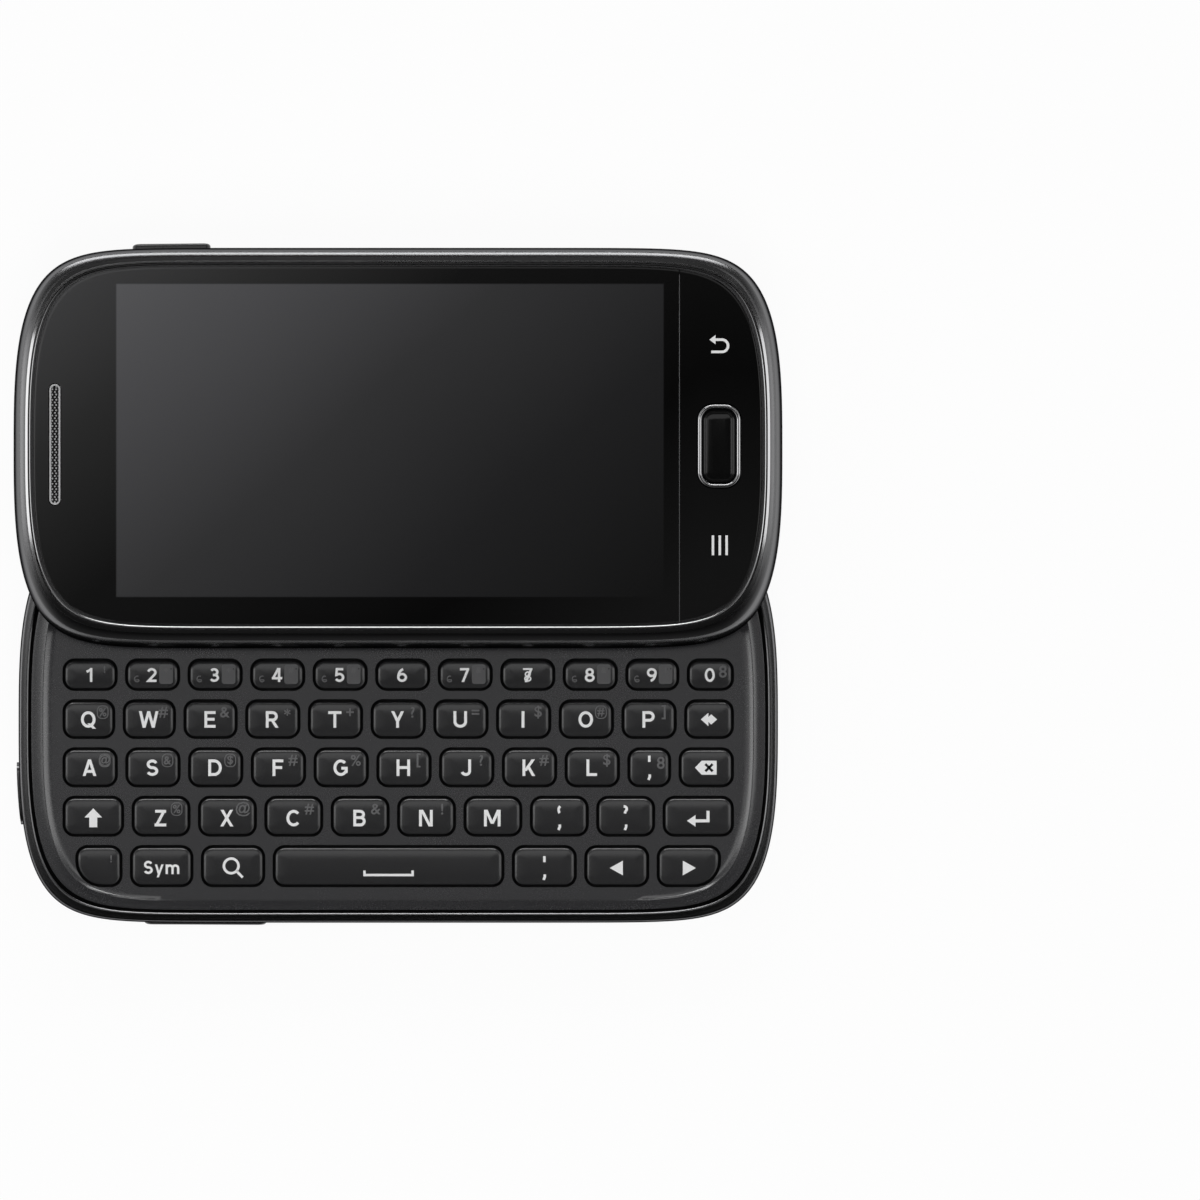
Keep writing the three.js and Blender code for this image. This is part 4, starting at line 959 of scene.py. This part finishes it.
padProfile = [(0, -2), (0, -0.5), (0.04, -0.3), (0.12, -0.15), (0.24, -0.05), (0.38, -0.01), (0.5, 0)]
for name, key in sideKeys.items():
    upper = name == "power_key"
    length = outline["upperLength"] if upper else outline["lowerLength"]
    rings = []
    for inset, out in padProfile:
        ring = roundedRing(key["length"] - 2 * inset, key["height"] - 2 * inset,
                           key["height"] / 2 - inset - shy)
        x, z = ring[:, 0] * (1 - 2 * inset / key["length"]) + key["x"], ring[:, 1] + key["z"]
        y = key["side"] * (sideReach(x, length) + key["proud"] + out) + (outline["slide"] if upper else 0)
        rings.append(np.stack([x, y, z], 1))
    place(skin(f"{name}_pad", rings, buttonLacquer), name, "gloss_button", name)

# Tick in the middle of the volume rocker, where a finger finds its halves
tick = {"length": 0.9, "height": 0.4, "corner": 0.19, "profile": [(0, -0.2), (0, -0.03), (0.04, 0)]}
rocker = sideKeys["volume_rocker"]
reach = sideReach(rocker["x"], outline["lowerLength"]) + rocker["proud"]
rings = [uprightRing(roundedRing(tick["length"] - 2 * i, tick["height"] - 2 * i, tick["corner"] - i),
                     rocker["x"], -(reach + out), rocker["z"]) for i, out in tick["profile"]]
place(skin("rockerTick", rings, legendInk), "volume_rocker", "gloss_button")

# Port: nickel-plated liner with its tongue
liner = {"length": 7.7, "height": 2.15, "wall": 0.3, "innerCorner": 0.35, "back": 30.0, "front": 31.3}
outer = roundedRing(liner["length"], liner["height"], port["corner"])
inner = roundedRing(liner["length"] - 2 * liner["wall"], liner["height"] - 2 * liner["wall"],
                    liner["innerCorner"])
rings = [uprightRing(ring, port["x"], liner[y], portZ)
         for ring, y in ((outer, "back"), (outer, "front"), (inner, "front"), (inner, "back"))]
place(skin("portLiner", rings, sheetSteel, hollow=True), "keyboard_half", "steel_sheet")
tongue = {"length": 5.2, "height": 0.5, "corner": 0.1, "rise": 0.25, "back": 29.95, "front": 31.0}
blade = sidePrism(port["x"], portZ + tongue["rise"], tongue["length"], tongue["height"], tongue["corner"],
                  tongue["back"], tongue["front"])
blade.name = "portTongue"
blade.data.materials.append(holeBlack)
place(blade, "keyboard_half", "board")


# Keypad frame: border, soft ridge down to the deck, and a well for each key

# Inset at the ends, inset at the long sides, height: the ridge falls gently at the ends and
# steeply along the sides
deckRungs = [(2.1, 2.1, 6.3), (2.1, 2.1, 7.3), (2.14, 2.14, 7.36), (2.24, 2.22, 7.38), (2.6, 2.5, 7.385),
             (3.0, 2.8, 7.41), (3.4, 3.1, 7.46), (3.7, 3.33, 7.52), (3.9, 3.48, 7.573), (3.98, 3.54, 7.597),
             (4.04, 3.56, 7.597), (4.12, 3.568, 7.57), (4.3, 3.597, 7.49), (4.55, 3.632, 7.39),
             (4.85, 3.664, 7.3), (5.15, 3.687, 7.235), (5.4, 3.698, 7.205), (5.55, 3.7, 7.2), (5.75, 4.3, 7.2)]
deckPanel = skin("deckPanel", [outlineRing(outline["lowerLength"], insetX, z, 0, insetY)
                               for insetX, insetY, z in deckRungs], [deckLacquer, paintedRecessShade])

# Each row's share of the height, its keys, and their shares of its length
keyRows = [
    (0.79, "one two three four five six seven slash eight nine zero", [1] * 9 + [0.98, 0.84]),
    (1, "q w e r t y u i o p tab", [0.95, 0.96, 0.98] + [1] * 7 + [0.89]),
    (1.01, "a s d f g h j k l apostrophe delete", [1] * 9 + [0.77, 1]),
    (1.035, "shift z x c b n m comma period enter", [1.05] + [1] * 8 + [1.23]),
    (1.07, "corner sym search space quote left right", [0.71, 0.985, 1, 3.82, 1.01, 1.01, 1]),
]
keyField = {"top": 10.15, "bottom": -26.55, "gap": 2.05, "rowGap": 2.2, "margin": 7.65, "bottomInset": 2.1,
            "corner": 1.55, "cornerShare": 0.65, "wellGap": 0.43}


def keyPlaces():
    free = keyField["top"] - keyField["bottom"] - 4 * keyField["rowGap"]
    total = sum(row[0] for row in keyRows)
    edge = keyField["top"]
    places = {}
    for rowIndex, (share, names, shares) in enumerate(keyRows):
        names = names.split()
        bottomRow = rowIndex == len(keyRows) - 1
        height = free * share / total
        reach = outline["lowerLength"] / 2 - keyField["margin"] - (keyField["bottomInset"] if bottomRow else 0)
        caps = 2 * reach - (len(names) - 1) * keyField["gap"]
        left = -reach
        for index, name in enumerate(names):
            length = caps * shares[index] / sum(shares)
            radii = [keyField["corner"]] * 4
            if bottomRow and index in (0, len(names) - 1):
                radii[3 if index else 2] = keyField["cornerShare"] * height
            places[name] = {"x": left + length / 2, "y": edge - height / 2, "length": length,
                            "height": height, "radii": radii, "row": rowIndex}
            left += length + keyField["gap"]
        edge -= height + keyField["rowGap"]
    return places


keys = keyPlaces()
gap = keyField["wellGap"]
# Each well's walls take the near-black painted shade
wells = [prism(key["x"], key["y"], key["length"] + 2 * gap, key["height"] + 2 * gap,
               [radius + gap for radius in key["radii"]], levels["deckBottom"] - overrun,
               levels["deckTop"] + overrun) for key in keys.values()]
combine(deckPanel, "DIFFERENCE", shadedWhereCut(joined("wells", wells)))
smoothShade(deckPanel)
place(deckPanel, "keyboard_half", "frame", "keypad_frame")
print("keypad frame ready")


# Key caps: crowned, with the legend printed on the crown

crown = [(0, 6.45), (0, 7.0), (0.03, 7.12), (0.08, 7.215), (0.14, 7.275), (0.27, 7.362), (0.4, 7.41),
         (0.6, 7.443), (0.85, 7.476), (1.15, 7.506), (1.5, 7.53), (2.05, 7.547)]
crownInsets, crownHeights = zip(*crown[1:])
secondMarks = dict(zip("qwertyuiopasdfghjklzxcbn", "%#&*+?=$#]@&$#%[?#$%@#&!"))
digits = dict(zip(keyRows[0][1].split(), "1234567/890"))


def crownAt(key, lift):
    def height(x, y):
        dx = key["length"] / 2 - abs(x - key["x"])
        dy = key["height"] / 2 - abs(y - key["y"])
        inset = min(dx, dy)
        corner = keyField["corner"]
        if dx < corner and dy < corner:
            inset = corner - math.hypot(corner - dx, corner - dy)
        return float(np.interp(inset, crownInsets, crownHeights)) + lift
    return height


# Pictures and punctuation of the keys that bear no letter, about the middle of the key
tail = [(0.08, -1.05), (0.08, -1.45), (-0.14, -1.95)]
pictures = {
    "shift": {"fills": [[(0, 1.6), (1.45, 0.1), (0.65, 0.1), (0.65, -1.5), (-0.65, -1.5), (-0.65, 0.1),
                         (-1.45, 0.1)]]},
    "search": {"lines": [bend(-0.3, 0.35, 1.2, 1.2, 0, 360, 26), [(0.5, -0.45), (1.6, -1.55)]]},
    "space": {"lines": [[(-3.95, -0.4), (-3.95, -1.15), (3.95, -1.15), (3.95, -0.4)]], "pen": 0.4},
    "left": {"fills": [[(-1.15, 0), (1.0, 1.2), (1.0, -1.2)]]},
    "right": {"fills": [[(1.15, 0), (-1.0, -1.2), (-1.0, 1.2)]]},
    "tab": {"fills": [[(-1.35, 0), (-0.1, 1.1), (-0.1, -1.1)],
                      [(-0.5, 0), (0.35, 0.85), (1.3, 0), (0.35, -0.85)]]},
    "delete": {"fills": [[(-1.85, 0), (-0.75, 1.15), (1.7, 1.15), (1.7, -1.15), (-0.75, -1.15)]],
               "cuts": [[(-0.15, 0.6), (1.05, -0.6)], [(-0.15, -0.6), (1.05, 0.6)]]},
    "enter": {"lines": [[(1.6, 1.2), (1.6, -0.45), (-0.7, -0.45)]], "pen": 0.5,
              "fills": [[(-1.85, -0.45), (-0.45, 0.5), (-0.45, -1.4)]]},
    "apostrophe": {"lines": [[(0, 2.0), (0, 0.95)], [(0.08, -1.1), (0.08, -1.5), (-0.14, -2.0)]]},
    "quote": {"lines": [[(0, 1.95), (0, 0.95)], tail]},
    "comma": {"lines": [bend(0.3, 1.35, 0.42, 0.62, 110, 235, 8), tail]},
    "period": {"lines": [bend(-0.25, 1.5, 0.42, 0.42, 100, -60, 8) + [(-0.12, 0.75)], tail]},
}


legend = {"letter": 2.72, "digit": 2.3, "word": 2.2, "wordStretch": 1.05, "aside": 0.1, "down": 0.05,
          "downInLastRows": 0.3, "pen": 0.42, "lift": 0.02, "lineLift": 0.006, "cutLift": 0.012,
          "both": [("7", 0, 2.35, 0), ("8", 0.25, 1.8, 0.01)], "bothPen": 0.75}


def legendPieces(name, key):
    x, y = key["x"], key["y"] - legend["downInLastRows" if key["row"] > 2 else "down"]
    on = crownAt(key, legend["lift"])
    if name == "slash":  # a 7 and an 8 printed over each other
        return [piece for digit, down, size, lift in legend["both"]
                for piece in lettering(digit, x, y - down, size, raised(on, lift), legend["bothPen"])]
    if name in digits:
        return lettering(digits[name], x - legend["aside"], y, legend["digit"], on)
    if len(name) == 1:
        return lettering(name.upper(), x - legend["aside"], y, legend["letter"], on)
    if name == "sym":
        return lettering("Sym", x, y + legend["aside"], legend["word"], on, 1, legend["wordStretch"])
    picture = pictures.get(name, {})
    width = picture.get("pen", legend["pen"])
    pieces = [filled(shifted(points, x, y), raised(on, prints["step"] * index))
              for index, points in enumerate(picture.get("fills", []))]
    for kind, lift, material in (("lines", "lineLift", legendInk), ("cuts", "cutLift", capLacquer)):
        pieces += [stroked(shifted(line, x, y), width, raised(on, legend[lift]), material)
                   for line in picture.get(kind, [])]
    return pieces


# Second characters, and the paler patch and small curl of the digits: places along the key are
# shares of its size from its middle, and the rest is in millimetres
mark = {"along": 0.29, "up": 0.2, "size": 1.7, "ringedSize": 1.3, "ring": (1.75, 2.05, 0.7, 5), "line": 0.16,
        "lift": 0.016}
patch = {"along": 0.27, "up": 0.08, "outline": (2.25, 3.2, 0.45, 4), "lift": 0.012,
         "signUp": 0.75, "signSize": 0.9, "signLift": 0.01}
curl = {"along": -0.31, "down": 0.7, "bend": (0.42, 0.48, 60, 330, 10), "bar": (-0.3, 0.35, -0.15),
        "line": 0.15, "barLift": 0.003}


def markPieces(name, key):
    on = crownAt(key, mark["lift"])
    x, y = key["x"] + mark["along"] * key["length"], key["y"] + mark["up"] * key["height"]
    pieces = []
    if name in secondMarks:
        ringed = name in "qasdoz"
        pieces.append(letters(secondMarks[name], x, y, mark["ringedSize" if ringed else "size"], on))
        if ringed:
            ring = roundedRing(*mark["ring"]) + (x, y)
            pieces.append(stroked(np.vstack([ring, ring[:1]]), mark["line"], on, markInk))
    if name in ("two", "three", "four", "five", "seven", "eight", "nine"):
        x = key["x"] + patch["along"] * key["length"]
        field = roundedRing(*patch["outline"]) + (x, key["y"] + patch["up"])
        pieces.append(filled(field, crownAt(key, patch["lift"]), smokedPatch))
        pieces.append(letters(secondMarks[name[0]], x, key["y"] + patch["signUp"], patch["signSize"],
                              raised(on, patch["signLift"])))
        spot = (key["x"] + curl["along"] * key["length"], key["y"] - curl["down"])
        pieces.append(stroked(bend(*spot, *curl["bend"]), curl["line"], on, markInk))
        pieces.append(stroked(shifted(bar(*curl["bar"]), *spot), curl["line"],
                              raised(on, curl["barLift"]), markInk))
    if name in ("zero", "apostrophe"):
        pieces.append(letters("8", x + 0.05, y - 0.4, 1.9, on))
    if name in ("one", "corner"):
        pieces.append(letters("!", x, y, 1.1, on))
    return pieces


def capMesh(key, leastRadius=0.2, leastEdge=0.25):
    rings = []
    for inset, z in crown:
        length, width = key["length"] - 2 * inset, key["height"] - 2 * inset
        radii = [min(max(leastRadius, radius - inset), width - leastEdge) for radius in key["radii"]]
        rings.append(flatRing(roundedRing(length, width, radii, 7), z, key["x"], key["y"]))
    return skin("cap", rings, capLacquer)


numberCaps = []
for name, key in keys.items():
    pieces = [capMesh(key)] + legendPieces(name, key) + markPieces(name, key)
    if key["row"] == 0:
        numberCaps += pieces
        continue
    cap = joined(f"cap_{name}", pieces)
    smoothShade(cap, 40)
    place(cap, f"key_{name}", "keycap", f"key_{name}")

# The silicone mat under all caps, in one with the caps of the number row
matSheet = {"inset": 2.9, "margin": 1.6, "corner": 2}
sheet = skin("sheet", lowerRings([(matSheet["inset"], levels[end]) for end in ("matBottom", "matTop")]),
             siliconeRubber)
combine(sheet, "INTERSECT", prism(0, keyField["top"] + matSheet["margin"] - edgeY, outline["lowerLength"],
                                  outline["width"], matSheet["corner"], levels["matBottom"] - overrun,
                                  levels["matTop"] + overrun))
mat = joined("keyMat", [sheet] + numberCaps)
smoothShade(mat, 40)
place(mat, "keyboard_half", "silicone", "keymat")
print("keys ready")


# Battery cover: thin shell, its flat back curving up to the edge

cover = {"inset": 2.8, "edge": 1.5, "curve": 6.2, "skin": 0.8, "lip": 0.8, "bevel": 0.08,
         "flat": (1.5, 0.4), "innerShift": 0.1, "innerTop": 0.3,
         "shares": [(1, 0), (0.5, 0.06), (0.2, 0.22), (0.05, 0.45), (0, 0.7)]}
curved = [(cover["inset"] + max(0, inset) * cover["curve"], max(0, rise) * cover["edge"])
          for inset, rise in smoothed(cover["shares"], 5)]
outerRungs = [(curved[0][0] + further, 0) for further in cover["flat"]] + curved
innerRungs = [(inset + cover["innerShift"], z + cover["skin"]) for inset, z in outerRungs
              if z < cover["innerTop"]][::-1]
edgeRungs = [(cover["inset"], cover["edge"] - cover["bevel"]), (cover["inset"] + cover["bevel"], cover["edge"]),
             (cover["inset"] + cover["lip"], cover["edge"])]
coverShell = skin("coverShell", lowerRings(outerRungs + edgeRungs + innerRungs), twillPlastic)
camera = {"x": lensHole["x"], "y": 0, "length": 10.4, "width": 10.4, "corner": 3.5, "gap": 0.3,
          "ring": [(0, 1.7), (0, 0.34), (0.05, 0.22), (0.15, 0.13), (0.3, 0.1), (0.5, 0.14), (0.66, 0.26),
                   (0.76, 0.42), (0.8, 0.6), (0.8, 1.7)],
          "barrel": [(1.85, 0.88), (1.85, 0.72), (1.75, 0.66), (1.2, 0.66), (1.0, 0.78), (0.95, 0.85)],
          "lens": [(0.95, 0.86), (0.93, 0.78), (0.8, 0.72), (0.55, 0.68), (0.25, 0.66), (0.05, 0.655)]}
combine(coverShell, "DIFFERENCE", opening(camera, camera["gap"], -overrun, overrun))
smoothShade(coverShell)
place(coverShell, "battery_cover", "cover", "battery_cover")

# Camera: chrome surround, lens barrel and coated lens
place(skin("cameraSurround", steppedRings(camera["ring"], camera), chromeTrim, hollow=True),
      "keyboard_half", "chrome_trim", "camera_ring")


def lathe(name, profile, material, sides=48):
    turns = np.arange(sides) * 2 * math.pi / sides
    circle = np.stack([np.cos(turns), np.sin(turns)], 1)
    return skin(name, [flatRing(circle * radius, z, camera["x"]) for radius, z in profile], material)


lensParts = [lathe("barrel", camera["barrel"], barrelBlack), lathe("eye", camera["lens"], lensCoating)]
place(joined("cameraLens", lensParts), "keyboard_half", "dark_glass")


# Screws that hold the housing, under the cover, by Geometry Nodes

def screwHeads(group, given):
    head = addNode(group, "GeometryNodeMeshCylinder", {
        "Vertices": 24, "Radius": given["Head radius"], "Depth": given["Head height"]})
    socket = addNode(group, "GeometryNodeMeshCylinder", {
        "Vertices": 6, "Radius": given["Socket radius"], "Depth": given["Socket depth"]})
    down = addNode(group, "ShaderNodeCombineXYZ", {2: calc(group, "MULTIPLY", given["Head height"], -0.5)})
    sunk = addNode(group, "GeometryNodeTransform", {
        "Geometry": socket.outputs["Mesh"], "Translation": down.outputs[0]})
    bored = addNode(group, "GeometryNodeMeshBoolean", {
        "Mesh 1": head.outputs["Mesh"], "Mesh 2": sunk.outputs["Geometry"],
    }, operation="DIFFERENCE", solver="EXACT")
    return given["Geometry"], bored.outputs["Mesh"]


screws = {"x": 51.7, "y": 20.3, "z": 1.46}
screwInputs = {"Head radius": 1.3 * mm, "Head height": 0.45 * mm, "Socket radius": 0.6 * mm,
               "Socket depth": 0.3 * mm}
spots = makePiece("screwSpots", [(sideX * screws["x"], sideY * screws["y"], screws["z"])
                                 for sideX in (-1, 1) for sideY in (-1, 1)], [], sheetSteel)
place(growFrom("housingScrews", spots, screwInputs, sheetSteel, screwHeads), "keyboard_half", "steel_sheet")
print("back ready")


# Slide: the throw spring, a wire that waves between its two pins

spring = {"start": (10, 22.5), "end": (-25, 45.0), "level": 8.7, "wire": 0.27, "eye": 1.58, "swing": 3.6}


def springLine():
    start, end = np.array(spring["start"]), np.array(spring["end"])
    span = np.linalg.norm(end - start)
    along = (end - start) / span
    across = np.array([-along[1], along[0]])
    eye = [(spring["eye"] * math.cos(a), spring["eye"] * math.sin(a))
           for a in np.linspace(math.pi / 4, 5 * math.pi / 3, 17)]
    lead = 2 * spring["eye"]
    waves = [(lead + s * (span - 2 * lead), spring["swing"] * math.sin(4 * math.pi * s))
             for s in np.linspace(0, 1, 61)]
    far = [(span - x, -y) for x, y in reversed(eye)]
    return [start + along * x + across * y for x, y in eye + waves + far]


points = springLine()
curve = bpy.data.curves.new("throwSpring", "CURVE")
curve.dimensions = "3D"
curve.bevel_depth = spring["wire"] * mm
curve.bevel_resolution = 3
curve.use_fill_caps = True
line = curve.splines.new("POLY")
line.points.add(len(points) - 1)
for point, (x, y) in zip(line.points, points):
    point.co = (x * mm, y * mm, spring["level"] * mm, 1)
wire = addObject("springForm", curve)
bpy.context.view_layer.update()
throwSpring = addObject("throwSpring", finalMesh(wire))
bpy.data.objects.remove(wire)
tidyNormals(throwSpring, 60)
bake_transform(throwSpring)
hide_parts("slide_spring")

# Finishes of the spring and of the CAD pieces that show as they are
for piece, material in ((throwSpring, springWire), (nodes["slide_base"], sheetSteel),
                        (nodes["slide_plate"], sheetSteel), (nodes["main_board"], solderMask),
                        (nodes["battery"], wrapFilm), (nodes["display_panel"], moduleCase),
                        (nodes["camera_window"], smokedGlass)):
    piece.data.materials.clear()
    piece.data.materials.append(material)

# Contacts on the battery's end
contact = {"x": 27.4, "y": (-6, -2, 2, 6), "length": 0.5, "width": 1.6, "corner": 0.1, "bottom": 2.0,
           "top": 3.8}
pads = [prism(contact["x"], y, contact["length"], contact["width"], contact["corner"], contact["bottom"],
              contact["top"], goldFlash, "pad") for y in contact["y"]]
place(joined("batteryContacts", pads), "keyboard_half", "cell")
print("slide and inner pieces ready")


# Stage: floor, sky, soft lamps and camera, sized in metres

floorMaterial, tree, bsdf = newMaterial("paperSweep", "#f4f4f4", {"Roughness": 0.9})
rays = addNode(tree, "ShaderNodeLightPath").outputs
seen = calc(tree, "MAXIMUM", rays["Is Camera Ray"],
            calc(tree, "MAXIMUM", rays["Is Glossy Ray"], rays["Is Transmission Ray"]))
glow = addNode(tree, "ShaderNodeEmission", {"Color": linear("#ffffff"), "Strength": 1})
both = addNode(tree, "ShaderNodeMixShader", {
    0: calc(tree, "MULTIPLY", seen, 0.94), 1: bsdf.outputs[0], 2: glow.outputs[0]})
feed(tree, tree.nodes["Material Output"], {"Surface": both.outputs[0]})
reach = 4000
floor = makePiece("floor", [(-reach, -reach, 0), (reach, -reach, 0), (reach, reach, 0), (-reach, reach, 0)],
                  [(0, 1, 2, 3)], floorMaterial)

# The studio is bright to the left and right, and dim in front and behind, below the lamps
world = bpy.data.worlds.new("studio")
bpy.context.scene.world = world
world.use_nodes = True
tree = world.node_tree
spot = addNode(tree, "ShaderNodeTexCoord").outputs["Generated"]
direction = addNode(tree, "ShaderNodeSeparateXYZ", {0: spot}).outputs
aside = ranged(tree, calc(tree, "ABSOLUTE", direction["X"]), low=0.1, start=0.5, end=0.95)
upward = ranged(tree, direction["Z"], high=0.35, start=0.5, end=0.8)
behind = ranged(tree, direction["Y"], start=-0.35, end=0.1)
feed(tree, tree.nodes["Background"], {
    "Color": ramp(tree, direction["Z"], [(0.0, "#e6e6e6"), (0.35, "#e0e0e0"), (0.8, "#606060"),
                                         (0.93, "#3a3a3a")]),
    "Strength": calc(tree, "MAXIMUM", aside, calc(tree, "MULTIPLY", upward, behind)),
})


def softbox(name, at, size, radiance, mirrored=True):
    # A rectangular lamp aimed at the middle of the phone
    target = Vector((0, 0.02, 0.01))
    data = bpy.data.lights.new(name, "AREA")
    data.shape = "RECTANGLE"
    data.size, data.size_y = size
    data.energy = radiance * math.pi * size[0] * size[1]
    lamp = addObject(name, data)
    lamp.location = at
    lamp.rotation_mode = "QUATERNION"
    lamp.rotation_quaternion = (target - Vector(at)).to_track_quat("-Z", "Y")
    lamp.visible_glossy = mirrored


softbox("farSoftbox", (-0.1, 1.7, 0.75), (1.9, 0.45), 4.8)
softbox("overheadHaze", (-0.1, 0.48, 1.9), (2, 0.6), 0.7)
softbox("leftSoftbox", (-1.22, 0.1, 1.02), (0.45, 1.0), 1.4)
softbox("rightSoftbox", (1.08, 0.1, 1.16), (0.5, 1.0), 1.1)
softbox("fill", (0, -1.2, 2), (1.6, 1.6), 3.6, mirrored=False)

# The long lens looks straight down, and "view" is how much it takes in at the glass
cameraAt = {"x": 33.1, "y": 20.15, "distance": 2500, "glass": 10, "view": 196.62, "sensor": 36}
cameraData = bpy.data.cameras.new("camera")
cameraData.sensor_width = cameraAt["sensor"]
cameraData.lens = cameraAt["sensor"] * (cameraAt["distance"] - cameraAt["glass"]) / cameraAt["view"]
viewer = addObject("camera", cameraData)
viewer.location = (cameraAt["x"] * mm, cameraAt["y"] * mm, cameraAt["distance"] * mm)
bpy.context.scene.camera = viewer
bpy.context.scene.view_settings.view_transform = "Standard"
print("stage ready")
